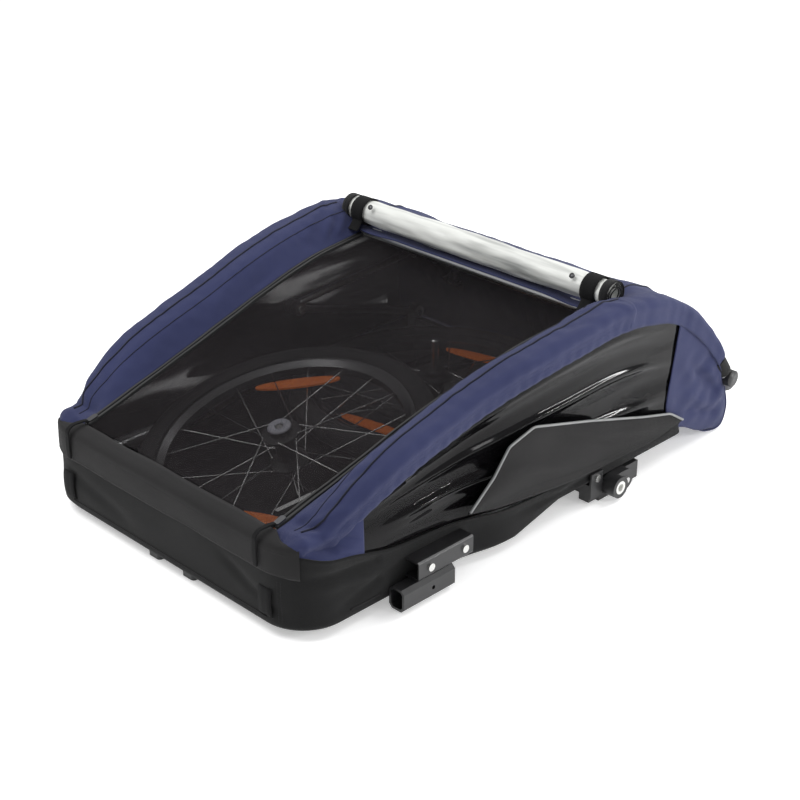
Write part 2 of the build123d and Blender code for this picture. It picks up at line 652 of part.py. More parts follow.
# ---------------------------------------------------------------- push handle
drop = math.radians(HANDLE_DROP_DEG)
handle_end = (HANDLE_PIVOT[0] + HANDLE_ARM * math.cos(drop), HANDLE_PIVOT[1] - HANDLE_ARM * math.sin(drop))
arm_start = (HANDLE_PIVOT[0] + 10 * math.cos(drop), HANDLE_PIVOT[1] - 10 * math.sin(drop))
with BuildPart() as handle_bar:
    add(tube([(HANDLE_X, *arm_start), (HANDLE_X, *handle_end), (-HANDLE_X, *handle_end), (-HANDLE_X, *arm_start)],
             [30, 30], HANDLE_R, TUBE_WALL))
    for side in (-1, 1):
        add(ring_x(side * HANDLE_X, *HANDLE_PIVOT, EYE_WIDTH, EYE_R, 0))
        add(ring_x(side * HANDLE_X, *HANDLE_PIVOT, EYE_WIDTH, PIN_R + RUNNING, 0), mode=Mode.SUBTRACT)
save(handle_bar.part, "handle_bar")

grip_half = HANDLE_X - 34
save(ring_x(0, *handle_end, 2 * grip_half, GRIP_R, HANDLE_R), "handle_grip")


# ---------------------------------------------------------------- wheels
def wheel(centre, axis, reflector_angles, name):
    """Writes one wheel, whose axle points along axis out of the hub's inner side. Returns the axle."""
    across = Plane(origin=centre, x_dir=(1, 0, 0), z_dir=axis)
    section = Plane(origin=centre, x_dir=(1, 0, 0), z_dir=-across.y_dir)
    spin = Axis(centre, axis)

    with BuildPart() as tyre:
        with BuildSketch(section):
            with Locations((WHEEL_R - TYRE_R, 0)):
                Circle(TYRE_R)
                Circle(TYRE_R - TYRE_WALL, mode=Mode.SUBTRACT)
            with Locations((RIM_R - 10, 0)):
                Rectangle(20, 60, mode=Mode.SUBTRACT)
        revolve(axis=spin)
    save(tyre.part, f"tyre_{name}")

    with BuildPart() as rim:
        inner = RIM_R - RIM_DEEP
        with BuildSketch(section):
            with BuildLine():
                Polyline((inner, -7), (inner, 7), (RIM_R - 6, 14), (RIM_R, 14), (RIM_R, 9), (RIM_R - 5, 8),
                         (RIM_R - 5, -8), (RIM_R, -9), (RIM_R, -14), (RIM_R - 6, -14), close=True)
            make_face()
        revolve(axis=spin)
    save(rim.part, f"rim_{name}")

    with BuildPart() as hub:
        with BuildSketch(section):
            with BuildLine():
                Polyline((AXLE_R + RUNNING, -HUB_HALF), (CAP_R, -HUB_HALF), (CAP_R, -FLANGE_H - 4),
                         (FLANGE_R, -FLANGE_H - 2), (FLANGE_R, -FLANGE_H + 2), (HUB_BARREL_R, -FLANGE_H + 8),
                         (HUB_BARREL_R, FLANGE_H - 8), (FLANGE_R, FLANGE_H - 2), (FLANGE_R, FLANGE_H + 2),
                         (CAP_R, FLANGE_H + 4), (CAP_R, HUB_HALF), (AXLE_R + RUNNING, HUB_HALF), close=True)
            make_face()
        revolve(axis=spin)
    save(hub.part, f"hub_{name}")

    with BuildPart() as spokes:
        for i in range(SPOKES):
            turn = 2 * math.pi * i / SPOKES
            lead = math.radians(50) * (1 if i % 4 < 2 else -1)
            height = (FLANGE_H + (2 if lead > 0 else -2)) * (1 if i % 2 else -1)
            start = across.from_local_coords(((FLANGE_R - 3) * math.cos(turn + lead),
                                              (FLANGE_R - 3) * math.sin(turn + lead), height))
            end = across.from_local_coords(((inner + 2) * math.cos(turn), (inner + 2) * math.sin(turn), 0))
            with BuildSketch(Plane(origin=start, z_dir=end - start)):
                Circle(SPOKE_R)
            extrude(amount=(end - start).length)
        add(rim.part, mode=Mode.SUBTRACT)
        add(hub.part, mode=Mode.SUBTRACT)
    save(spokes.part, f"spokes_{name}")

    half_length, half_height, thickness = REFLECTOR
    with BuildPart() as reflectors:
        with BuildSketch(across.offset(-thickness / 2)):
            for angle in reflector_angles:
                with PolarLocations(REFLECTOR_RADIUS, 1, angle):
                    Ellipse(half_height, half_length)
        extrude(amount=thickness)
    save(reflectors.part, f"reflectors_{name}")

    with BuildPart() as axle:
        with BuildSketch(section):
            with BuildLine():
                tip = HUB_HALF + AXLE_OUT
                Polyline((0, -HUB_HALF + 14), (AXLE_R, -HUB_HALF + 14), (AXLE_R, tip - 2), (AXLE_R - 2, tip), (0, tip),
                         close=True)
            make_face()
        revolve(axis=spin)

    with BuildPart() as button:
        with BuildSketch(across.offset(-HUB_HALF - 0.5)):
            Circle(HUB_BUTTON_R)
        extrude(amount=9)
    save(button.part, f"hub_button_{name}")
    return axle.part


tilt = math.radians(FRONT_TILT)
front_axle = wheel(FRONT_WHEEL, (0, math.sin(tilt), -math.cos(tilt)), FRONT_REFLECTORS, "front_wheel")
rear_axle = wheel(REAR_WHEEL, (0, 0, 1), REAR_REFLECTORS, "rear_wheel")
with BuildPart() as wheel_axles:
    add(front_axle)
    add(rear_axle)
save(wheel_axles.part, "wheel_axles")
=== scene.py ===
"""Looks for the folded child bicycle trailer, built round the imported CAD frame. Metres, row frame.

Side-view tables are (y, ...) rows in millimetres about the tub's datum, as in the CAD source;
place() moves them to the row frame.
"""

import json
import math

import bmesh
import bpy
import numpy as np
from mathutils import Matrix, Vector


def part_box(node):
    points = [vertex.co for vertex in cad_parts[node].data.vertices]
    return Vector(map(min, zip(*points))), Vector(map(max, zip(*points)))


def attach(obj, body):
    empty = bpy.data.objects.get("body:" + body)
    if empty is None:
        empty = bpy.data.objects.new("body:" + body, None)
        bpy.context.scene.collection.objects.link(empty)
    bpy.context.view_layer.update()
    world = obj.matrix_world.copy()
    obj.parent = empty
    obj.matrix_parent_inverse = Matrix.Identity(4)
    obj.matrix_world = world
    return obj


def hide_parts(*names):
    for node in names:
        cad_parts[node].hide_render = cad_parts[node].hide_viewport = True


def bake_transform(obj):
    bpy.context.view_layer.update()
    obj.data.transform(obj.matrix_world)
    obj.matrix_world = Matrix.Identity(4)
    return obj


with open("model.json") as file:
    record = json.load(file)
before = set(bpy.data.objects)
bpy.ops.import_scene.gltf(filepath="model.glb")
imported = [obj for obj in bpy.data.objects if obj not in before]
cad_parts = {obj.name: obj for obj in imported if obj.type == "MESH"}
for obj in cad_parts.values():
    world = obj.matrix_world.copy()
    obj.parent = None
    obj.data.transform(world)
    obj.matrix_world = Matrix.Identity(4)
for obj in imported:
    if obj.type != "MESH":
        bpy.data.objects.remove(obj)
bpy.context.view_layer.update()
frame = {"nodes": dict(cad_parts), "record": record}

DATUM_Y = 20.7               # row frame y of the tub's datum, mm
MM = 0.001
WELD = 2e-6                  # points nearer than this are one point, m
MESH_PITCH = 0.0019          # of the windscreen's netting, m
NYLON = 0.0016               # of the canopy bands, roof and rear cloth as drawn, m
SIDES = ((1, "left"), (-1, "right"))

# ---- camera, light, floor
CAMERA_AZIMUTH = 45.0
CAMERA_ELEVATION = 26.2
CAMERA_DISTANCE = 2.6
CAMERA_TARGET = Vector((0.0, -0.0113, 0.108))
CAMERA_LENS = 72.0


def look_from(azimuth, elevation):
    """Unit vector from the object towards a viewer."""
    a, e = math.radians(azimuth), math.radians(elevation)
    return Vector((math.sin(a) * math.cos(e), -math.cos(a) * math.cos(e), math.sin(e)))


def aim(obj, target):
    """Turns a camera or light so that it looks at target."""
    obj.rotation_euler = (target - obj.location).to_track_quat("-Z", "Y").to_euler()


camera = bpy.data.objects.new("camera", bpy.data.cameras.new("camera"))
bpy.context.collection.objects.link(camera)
camera.data.lens = CAMERA_LENS
camera.data.sensor_width = 36.0
camera.location = CAMERA_TARGET + CAMERA_DISTANCE * look_from(CAMERA_AZIMUTH, CAMERA_ELEVATION)
aim(camera, CAMERA_TARGET)
bpy.context.scene.camera = camera
bpy.context.scene.view_settings.view_transform = "Standard"


def area_light(name, azimuth, elevation, distance, size, watts, tall=None):
    """A soft light aimed at the object: square, or size wide and tall high."""
    light = bpy.data.objects.new(name, bpy.data.lights.new(name, "AREA"))
    light.data.shape = "RECTANGLE"
    light.data.size = size
    light.data.size_y = tall or size
    light.data.energy = watts
    light.location = distance * look_from(azimuth, elevation)
    aim(light, Vector((0, 0, 0.1)))
    bpy.context.collection.objects.link(light)


area_light("key", -40, 62, 3.0, 1.8, 52)
area_light("rim", 160, 48, 3.2, 1.6, 46)
area_light("side", 100, 34, 3.4, 0.7, 14)
area_light("strip", 128, 14, 2.6, 1.0, 22, 0.15)
world = bpy.data.worlds.new("studio")
world.use_nodes = True
world.node_tree.nodes["Background"].inputs["Color"].default_value = (1, 1, 1, 1)
world.node_tree.nodes["Background"].inputs["Strength"].default_value = 0.62
bpy.context.scene.world = world


# ---- materials
class Nodes:
    """A short way to write a node tree."""

    def __init__(self, name):
        self.material = bpy.data.materials.new(name)
        self.material.use_nodes = True
        self.tree = self.material.node_tree
        self.shader = self.tree.nodes["Principled BSDF"]
        self.place = self.add("ShaderNodeTexCoord").outputs["Object"]

    def add(self, kind, **values):
        """A node, with its inputs set from values: links for sockets, numbers for the rest."""
        node = self.tree.nodes.new(kind)
        for key, value in values.items():
            self.set(node.inputs[key.replace("_", " ")], value)
        return node

    def set(self, socket, value):
        """Links or sets one input."""
        if isinstance(value, bpy.types.NodeSocket):
            self.tree.links.new(value, socket)
        else:
            socket.default_value = value

    def noise(self, scale, detail=3.0, place=None):
        """Noise factor at a scale per metre."""
        node = self.add("ShaderNodeTexNoise", Vector=place or self.place, Scale=scale, Detail=detail)
        return node.outputs["Fac"]

    def stretched(self, scale):
        """The object's coordinates, each times its scale."""
        node = self.add("ShaderNodeMapping", Vector=self.place)
        node.inputs["Scale"].default_value = scale
        return node.outputs["Vector"]

    def ramp(self, factor, low, high, start=0.3, end=0.7):
        """A colour between low and high."""
        node = self.add("ShaderNodeValToRGB", Fac=factor)
        node.color_ramp.elements[0].position = start
        node.color_ramp.elements[1].position = end
        node.color_ramp.elements[0].color = (*low, 1)
        node.color_ramp.elements[1].color = (*high, 1)
        return node.outputs["Color"]

    def spread(self, factor, low, high):
        """factor's 0 to 1 stretched to low to high."""
        node = self.add("ShaderNodeMapRange", Value=factor)
        node.inputs["To Min"].default_value = low
        node.inputs["To Max"].default_value = high
        return node.outputs["Result"]

    def maths(self, operation, a, b=0.0):
        """One maths step."""
        node = self.tree.nodes.new("ShaderNodeMath")
        node.operation = operation
        self.set(node.inputs[0], a)
        self.set(node.inputs[1], b)
        return node.outputs[0]

    def threads(self, period):
        """Sine waves across and along the piece's own cloth map, with a period in metres."""
        cloth = self.tree.nodes.new("ShaderNodeUVMap").outputs["UV"]
        parts = self.add("ShaderNodeSeparateXYZ", Vector=cloth)
        turn = 2 * math.pi / period
        return [self.maths("SINE", self.maths("MULTIPLY", parts.outputs[axis], turn)) for axis in "XY"]

    def weave(self, period):
        """Height of a plain weave, threads crossing at a period in metres."""
        return self.maths("MULTIPLY", *self.threads(period))

    def bump(self, height, distance, strength=1.0):
        """Adds a bump on top of any bump so far."""
        node = self.add("ShaderNodeBump", Height=height, Distance=distance, Strength=strength)
        old = self.shader.inputs["Normal"]
        if old.is_linked:
            self.tree.links.new(old.links[0].from_socket, node.inputs["Normal"])
        self.tree.links.new(node.outputs["Normal"], old)

    def finish(self, **values):
        """Sets the shader's own inputs and returns the material."""
        for key, value in values.items():
            self.set(self.shader.inputs[key.replace("_", " ")], value)
        return self.material


def shade(colour, k):
    """A colour k times as bright."""
    return tuple(min(1.0, c * k) for c in colour)


def woven(name, colour, period=0.0016, roughness=0.85, sheen=0.06, patch=0.10, mapped=True):
    """Matte woven cloth with faint patches, creases and a thread pattern."""
    n = Nodes(name)
    colours = n.ramp(n.noise(9, 5), shade(colour, 1 - patch), shade(colour, 1 + patch))
    n.bump(n.noise(26, 3), 0.002, 0.2)
    n.bump(n.noise(900, 2), 0.0004, 0.5)
    if mapped:
        n.bump(n.weave(period), 0.0003, 0.6)
    return n.finish(Base_Color=colours, Roughness=roughness, Sheen_Weight=sheen, Sheen_Roughness=0.5,
                    Specular_IOR_Level=0.14)


def moulded(name, colour, roughness=0.5, grain=1400.0):
    """Moulded plastic or rubber with a fine grain."""
    n = Nodes(name)
    colours = n.ramp(n.noise(30, 4), shade(colour, 0.88), shade(colour, 1.12))
    rough = n.spread(n.noise(60, 3), roughness * 0.85, min(1.0, roughness * 1.15))
    n.bump(n.noise(grain, 2), 0.0003, 0.25)
    return n.finish(Base_Color=colours, Roughness=rough)


def metal(name, colour, roughness, stretch=(1, 1, 1)):
    """Bare metal with fine drawn lines along the direction of least stretch."""
    n = Nodes(name)
    fine = n.noise(500, 3, n.stretched(stretch))
    colours = n.ramp(fine, shade(colour, 0.9), colour)
    n.bump(fine, 0.0002, 0.2)
    rough = n.spread(fine, roughness * 0.8, roughness * 1.25)
    return n.finish(Base_Color=colours, Roughness=rough, Metallic=1.0)


def painted(name, colour):
    """Satin black powder coat with a fine orange peel."""
    n = Nodes(name)
    n.bump(n.noise(700, 2), 0.0003, 0.3)
    colours = n.ramp(n.noise(40, 3), shade(colour, 0.85), shade(colour, 1.2))
    return n.finish(Base_Color=colours, Roughness=n.spread(n.noise(50, 2), 0.28, 0.4), Coat_Weight=0.15)


def window_film():
    """Glossy film with soft ripples, coloured near-black and nearly opaque: painted shade of the dark inside
    seen through the clear film.
    """
    n = Nodes("window_film")
    n.bump(n.noise(14, 2), 0.003, 0.05)
    # Near-black colour and high alpha: painted shade of the trailer's dark inside, seen through the clear
    # film.
    colours = n.ramp(n.noise(8, 3), (0.003, 0.003, 0.0035), (0.006, 0.0055, 0.006))
    clearer = n.add("ShaderNodeMapRange", Value=n.noise(30, 2, n.stretched((1.0, 0.12, 1.0))))
    clearer.inputs["From Min"].default_value = 0.52
    clearer.inputs["From Max"].default_value = 0.66
    clearer.inputs["To Min"].default_value = 0.95
    clearer.inputs["To Max"].default_value = 0.62
    return n.finish(Base_Color=colours, Roughness=n.spread(n.noise(30, 3), 0.04, 0.08), IOR=1.5,
                    Specular_IOR_Level=0.14, Alpha=clearer.outputs["Result"])


def cover_film():
    """Rolled clear film, milky silver where its layers lie on each other; the lighter long streaks in its
    colour are painted highlights.
    """
    n = Nodes("cover_film")
    streaks = n.noise(46, 3, n.stretched((0.1, 1.0, 1.0)))
    n.bump(streaks, 0.003, 0.3)
    # The light end of this ramp, in long streaks along the roll, is painted broad highlight; the milky grey
    # is the film's own.
    colours = n.ramp(streaks, (0.30, 0.31, 0.30), (0.72, 0.73, 0.70), 0.3, 0.55)
    return n.finish(Base_Color=colours, Roughness=n.spread(streaks, 0.2, 0.4), IOR=1.45, Alpha=0.9)


def screen_mesh():
    """Open black netting: threads at MESH_PITCH with clear holes between them."""
    n = Nodes("screen_mesh")
    hole = n.maths("MULTIPLY", *[n.maths("ABSOLUTE", wave) for wave in n.threads(2 * MESH_PITCH)])
    cover = n.spread(n.maths("GREATER_THAN", hole, 0.2), 0.86, 0.2)
    colours = n.ramp(n.noise(5, 4), (0.011, 0.0095, 0.0105), (0.019, 0.0165, 0.018))
    n.bump(hole, 0.0004, 0.4)
    return n.finish(Base_Color=colours, Roughness=0.75, Alpha=cover, Specular_IOR_Level=0.1)


def amber():
    """Prismatic amber reflector: small pyramids under a glossy face, with a faint painted glow (emission) for
    the light it sends back.
    """
    n = Nodes("amber_prisms")
    cells = n.add("ShaderNodeTexVoronoi", Vector=n.place, Scale=420.0)
    colours = n.ramp(cells.outputs["Distance"], (0.9, 0.26, 0.03), (0.42, 0.08, 0.01), 0.1, 0.6)
    n.bump(cells.outputs["Distance"], 0.0012, 0.7)
    # The emission is a painted glow: the reflector is no lamp, it only sends light back.
    return n.finish(Base_Color=colours, Roughness=0.22, Coat_Weight=0.6, Emission_Color=(0.9, 0.22, 0.02, 1),
                    Emission_Strength=0.22)


NAVY = (0.027, 0.0325, 0.090)
BLACK = (0.0085, 0.0085, 0.0088)
materials = {
    "black_polyester": woven("black_polyester_cloth", BLACK, 0.0018),
    "flap": woven("flap_cloth", (0.0165, 0.0160, 0.0165), 0.0018),
    "navy_nylon": woven("navy_nylon_cloth", NAVY, 0.0014, 0.8, 0.1, 0.05),
    "dark_mesh": screen_mesh(),
    "clear_film": window_film(),
    "cover": cover_film(),
    "zip_tape": woven("zip_tape_cloth", (0.010, 0.010, 0.011), 0.0012, 0.8, 0.1),
    "zip_coil": moulded("zip_coil_nylon", (0.010, 0.010, 0.0105), 0.55, 600),
    "seam": woven("seam_piping", (0.008, 0.009, 0.022), 0.0012, 0.7, 0.1),
    "reflective_tape": moulded("reflective_piping", (0.20, 0.205, 0.205), 0.4, 2500),
    "webbing": woven("webbing_cloth", (0.008, 0.008, 0.0085), 0.0022, 0.85, 0.02),
    "padding": woven("pad_cloth", (0.05, 0.05, 0.055), 0.002, 0.9, 0.3),
    "board": moulded("seat_board_plastic", (0.03, 0.03, 0.03), 0.6),
    "cage_aluminium": metal("anodised_tube", (0.6, 0.61, 0.62), 0.34, (1, 0.1, 1)),
    "black_steel": painted("black_powder_coat", (0.012, 0.012, 0.013)),
    "zinc_screw": metal("zinc_plate", (0.72, 0.72, 0.70), 0.25),
    "black_plastic": moulded("black_moulding", (0.016, 0.016, 0.017), 0.42),
    "white_bush": moulded("white_nylon", (0.78, 0.78, 0.75), 0.4, 900),
    "button_metal": metal("button_steel", (0.62, 0.62, 0.62), 0.3),
    "grey_foam": moulded("grey_foam_rubber", (0.10, 0.10, 0.105), 0.9, 500),
    "tyre_rubber": moulded("tyre_rubber", (0.018, 0.018, 0.019), 0.8, 800),
    "rim_alloy": metal("rim_alloy", (0.22, 0.22, 0.225), 0.24),
    "spoke_steel": metal("spoke_steel", (0.62, 0.62, 0.62), 0.25),
    "hub_plastic": moulded("hub_black", (0.02, 0.02, 0.021), 0.4),
    "amber_lens": amber(),
    "axle_steel": metal("axle_steel", (0.7, 0.7, 0.7), 0.2),
    "slider_metal": metal("slider_nickel", (0.12, 0.12, 0.125), 0.3),
}

slot_of = {row["node"]: row["material_slot"] for row in frame["record"]["subparts"]}
for node_name, node in frame["nodes"].items():
    for material_slot in node.material_slots:
        material_slot.material = materials[slot_of[node_name]]


# ---- mesh helpers
def place(points):
    """Datum millimetres to row-frame metres."""
    points = np.asarray(points, float)
    return (points + np.array([0, DATUM_Y, 0])) * MM


def curve(rows, at, column=1):
    """Smooth value of a column of a table sorted by its first column, by cubic Hermite runs."""
    rows = np.asarray(rows, float)
    x, v = rows[:, 0], rows[:, column]
    slopes = np.gradient(v, x)
    at = np.clip(np.asarray(at, float), x[0], x[-1])
    i = np.clip(np.searchsorted(x, at) - 1, 0, len(x) - 2)
    h = x[i + 1] - x[i]
    t = (at - x[i]) / h
    return ((2 * t**3 - 3 * t**2 + 1) * v[i] + (t**3 - 2 * t**2 + t) * h * slopes[i]
            + (3 * t**2 - 2 * t**3) * v[i + 1] + (t**3 - t**2) * h * slopes[i + 1])


def lengths(line):
    """Distance along a line of points, from its start to each point."""
    return np.r_[0, np.cumsum(np.linalg.norm(np.diff(line, axis=0), axis=1))]


def path(points, count, smooth=True):
    """count points spaced evenly along a line of points, smoothed unless smooth is False."""
    points = np.asarray(points, float)
    run = lengths(points)
    at = np.linspace(0, run[-1], count)
    if not smooth:
        return np.stack([np.interp(at, run, points[:, k]) for k in range(points.shape[1])], 1)
    return np.stack([curve(np.c_[run, points[:, k]], at) for k in range(points.shape[1])], 1)


def coons(top, bottom, start, end):
    """A grid stretched between four edges. top and bottom run along; start and end run across."""
    n, m = len(top), len(start)
    u = np.linspace(0, 1, n)[:, None, None]
    v = np.linspace(0, 1, m)[None, :, None]
    across = (1 - v) * top[:, None] + v * bottom[:, None]
    along = (1 - u) * start[None] + u * end[None]
    corners = ((1 - u) * (1 - v) * top[0] + u * (1 - v) * top[-1]
               + (1 - u) * v * bottom[0] + u * v * bottom[-1])
    return across + along - corners


def normals(grid):
    """Unit normal at each point of a grid."""
    n = np.cross(np.gradient(grid, axis=0), np.gradient(grid, axis=1))
    length = np.linalg.norm(n, axis=2, keepdims=True)
    return n / np.maximum(length, 1e-9)


def step(x, low, high):
    """Smooth 0 to 1 between low and high."""
    t = np.clip((x - low) / (high - low), 0, 1)
    return t * t * (3 - 2 * t)


def weld(mesh):
    """Joins points that coincide, and removes the faces that this leaves with no area."""
    work = bmesh.new()
    work.from_mesh(mesh)
    bmesh.ops.remove_doubles(work, verts=work.verts, dist=WELD)
    bmesh.ops.dissolve_degenerate(work, edges=work.edges, dist=WELD)
    work.to_mesh(mesh)
    work.free()


def add_mesh(name, vertices, faces, material, uvs=None):
    """A mesh object. uvs is one (u, v) per vertex, in metres of cloth."""
    mesh = bpy.data.meshes.new(name)
    mesh.from_pydata([tuple(p) for p in vertices], [], faces)
    mesh.validate()
    if uvs is not None:
        layer = mesh.uv_layers.new(name="cloth")
        corner_vertices = np.zeros(len(mesh.loops), int)
        mesh.loops.foreach_get("vertex_index", corner_vertices)
        layer.data.foreach_set("uv", np.asarray(uvs)[corner_vertices].astype(np.float32).ravel())
    weld(mesh)
    mesh.polygons.foreach_set("use_smooth", [True] * len(mesh.polygons))
    mesh.materials.append(materials[material])
    obj = bpy.data.objects.new(name, mesh)
    bpy.context.collection.objects.link(obj)
    return obj


def shell(name, grid, thickness, material, loop=False):
    """A closed skin of even thickness on both sides of a grid of points, in metres. loop joins its ends."""
    n, m = grid.shape[:2]
    normal = normals(grid)
    if loop:
        wrapped = np.concatenate([grid[-2:-1], grid, grid[1:2]])
        normal = normals(wrapped)[1:-1]
    both = np.concatenate([grid + normal * thickness / 2, grid - normal * thickness / 2]).reshape(-1, 3)
    index = np.arange(2 * n * m).reshape(2, n, m)
    a, b = index[0], index[1]
    faces = []
    for i in range(n - 1):
        for j in range(m - 1):
            faces.append((a[i, j], a[i + 1, j], a[i + 1, j + 1], a[i, j + 1]))
            faces.append((b[i, j], b[i, j + 1], b[i + 1, j + 1], b[i + 1, j]))
    for i in range(n - 1):
        faces.append((a[i, 0], b[i, 0], b[i + 1, 0], a[i + 1, 0]))
        faces.append((a[i, -1], a[i + 1, -1], b[i + 1, -1], b[i, -1]))
    for j in range(0 if loop else m - 1):
        faces.append((a[0, j], a[0, j + 1], b[0, j + 1], b[0, j]))
        faces.append((a[-1, j], b[-1, j], b[-1, j + 1], a[-1, j + 1]))
    u = lengths(grid.mean(1))
    v = lengths(grid.mean(0))
    uv = np.stack(np.meshgrid(u, v, indexing="ij"), 2).reshape(-1, 2)
    return add_mesh(name, both, faces, material, np.concatenate([uv, uv]))


def pipe(name, line, radius, material, sides=8):
    """A closed round bead along a line of points in metres. Repeated points are dropped."""
    line = np.asarray(line, float)
    line = line[np.r_[True, np.linalg.norm(np.diff(line, axis=0), axis=1) > WELD]]
    tangent = np.gradient(line, axis=0)
    tangent /= np.linalg.norm(tangent, axis=1, keepdims=True)
    up = np.array([0.0, 0.0, 1.0]) if abs(tangent[:, 2]).mean() < 0.9 else np.array([1.0, 0.0, 0.0])
    side = np.cross(tangent, up)
    side /= np.linalg.norm(side, axis=1, keepdims=True)
    other = np.cross(side, tangent)
    turn = np.linspace(0, 2 * math.pi, sides, endpoint=False)
    rings = (line[:, None] + radius * (np.cos(turn)[None, :, None] * side[:, None]
                                       + np.sin(turn)[None, :, None] * other[:, None]))
    index = np.arange(len(line) * sides).reshape(-1, sides)
    after = np.roll(index, -1, axis=1)
    faces = [(index[i, k], after[i, k], after[i + 1, k], index[i + 1, k])
             for i in range(len(line) - 1) for k in range(sides)]
    faces += [tuple(index[0][::-1]), tuple(index[-1])]
    run = lengths(line)
    girth = np.linspace(0, 2 * math.pi * radius, sides)
    uv = np.stack(np.meshgrid(run, girth, indexing="ij"), 2).reshape(-1, 2)
    return add_mesh(name, rings.reshape(-1, 3), faces, material, uv)


def flipped(grid):
    """The same grid on the trailer's other side."""
    return (grid * np.array([-1, 1, 1]))[::-1]


def unit(v):
    """v over its length."""
    return v / np.linalg.norm(v)


def rounded(points, radii, step_mm=4.0):
    """An open line of 2-D points with each inner corner rounded by its radius."""
    points = [np.array(p, float) for p in points]
    line = [points[0]]
    for before, corner, after, radius in zip(points, points[1:], points[2:], radii):
        a, b = unit(before - corner), unit(after - corner)
        half = math.acos(np.clip(a @ b, -1, 1)) / 2
        reach = radius / math.tan(half)
        centre = corner + unit(a + b) * radius / math.sin(half)
        first, last = corner + a * reach - centre, corner + b * reach - centre
        turn = math.acos(np.clip(first @ last / radius**2, -1, 1))
        for t in np.linspace(0, 1, max(3, int(turn * radius / step_mm))):
            arc = math.sin((1 - t) * turn) * first + math.sin(t * turn) * last
            line.append(centre + arc / math.sin(turn))
    line.append(points[-1])
    return np.array(line)


def ripples(a, b, seed, wavelength, stretch=1.0, count=14):
    """Smooth random waves of about +-1 over coordinates a and b. stretch lengthens them along a."""
    rng = np.random.default_rng(seed)
    total = np.zeros(np.broadcast(a, b).shape)
    for _ in range(count):
        angle, phase, scale = rng.uniform(0, math.pi), rng.uniform(0, 2 * math.pi), rng.uniform(0.7, 1.5)
        k = 2 * math.pi / (wavelength * scale)
        total += np.sin(k * (a * math.cos(angle) / stretch + b * math.sin(angle)) + phase)
    return total / math.sqrt(count)


def crease(a, b, start, end, width):
    """A ridge of height 1 along the straight line from start to end, fading out at both ends."""
    start, end = np.array(start, float), np.array(end, float)
    d = end - start
    t = ((a - start[0]) * d[0] + (b - start[1]) * d[1]) / (d @ d)
    away = ((a - start[0]) * d[1] - (b - start[1]) * d[0]) / np.linalg.norm(d)
    return np.exp(-(away / width) ** 2) * np.exp(-((np.clip(t, -1, 2) - 0.5) / 0.42) ** 4)


def add_creases(amount, a, b, rows):
    """Adds creases to amount, in place. A row is (start, end, width, height)."""
    for start, end, width, tall in rows:
        amount += tall * crease(a, b, start, end, width)


def grid_of(x, y, z):
    """A grid of points from three arrays that fill each other out."""
    return np.stack(np.broadcast_arrays(x, y, z), 2)


def pushed(grid, amount, towards):
    """A grid moved along its own normals by amount. A positive amount moves it to the side of towards."""
    n = normals(grid)
    if (n.mean((0, 1)) * np.array(towards)).sum() < 0:
        n = -n
    return grid + n * amount[..., None]


def stitches(name, line, body, slot_name, pitch=0.0042, length=0.0026, radius=0.0004, material="stitch"):
    """A row of short raised thread stitches along a line of points in metres."""
    line = np.asarray(line, float)
    run = lengths(line)
    vertices, faces = [], []
    for at in np.arange(pitch, run[-1] - pitch, pitch):
        ends = [np.array([np.interp(at + half, run, line[:, k]) for k in range(3)])
                for half in (-length / 2, length / 2)]
        along_stitch = unit(ends[1] - ends[0])
        side = unit(np.cross(along_stitch, (0.31, 0.2, 0.93)))
        other = np.cross(side, along_stitch)
        base = len(vertices)
        vertices += [ends[0]] + [sum(ends) / 2 + radius * (math.cos(k) * side + math.sin(k) * other)
                                 for k in np.arange(6) * math.pi / 3] + [ends[1]]
        for k in range(6):
            a, b = base + 1 + k, base + 1 + (k + 1) % 6
            faces += [(base, b, a), (base + 7, a, b)]
    piece = add_mesh(name, vertices, faces, material)
    settle(piece, body, slot_name)


def black_stitches(name, line):
    """A row of black stitches on the tub."""
    stitches(name, line, "base", "black_polyester", material="black_thread")


def settle(piece, body, slot_name, *nodes):
    """Puts a piece on its body, and hides the CAD nodes that it stands for; slot_name is not used."""
    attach(piece, body)
    if nodes:
        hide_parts(*nodes)
    return piece


def claimed(node, first):
    """The CAD node that a set of pieces stands for, given to the set's first piece only."""
    return [node] if first else []


materials["hub_cap"] = moulded("pale_cap", (0.55, 0.55, 0.62), 0.45)
materials["stitch"] = woven("thread", (0.045, 0.05, 0.11), 0.001, 0.6, 0.1, mapped=False)
materials["black_thread"] = woven("black_thread", (0.024, 0.024, 0.025), 0.001, 0.6, 0.1, mapped=False)

# ---- shared lines, (y, ...) about the datum
TUB_TOP = [(-520, 134), (-505, 134), (-470, 124), (-416, 112), (-363, 97), (-264, 87), (-200, 80),
           (-100, 72), (320, 64)]
CAGE = [(-460, 269, 141), (-410, 284, 180), (-200, 300, 262), (-10, 322, 306), (140, 326, 314),
        (260, 322, 276), (345, 320, 204), (414, 320, 114)]
ZIP = [(-488, 222, 149), (-360, 226, 185), (-200, 232, 231), (-100, 240, 257), (0, 248, 277), (118, 254, 288)]
RIDGE_RISE = 15.0            # of the cloth over the cage tube's centre line
SKIRT = 43.0                 # from the cloth's ridge down to its hem
TUB_FRONT_Y = -517.0
ZIP_FRONT_Y = -488.0
SCREEN_FRONT_Y, SCREEN_REAR_Y = -487.0, 124.0
ROOF_FRONT_Y, ROOF_REAR_Y = 121.0, 385.0
ROOF_HEIGHT = 300.5          # of the roof's middle, at its front
half_outline = rounded([(0, TUB_FRONT_Y), (300, TUB_FRONT_Y), (302, -205), (320, -135), (320, 310), (0, 310)],
                       [72, 200, 200, 16])


def cage_height(y):
    """Height of the cage tube's centre line."""
    return curve(CAGE, y, 2)


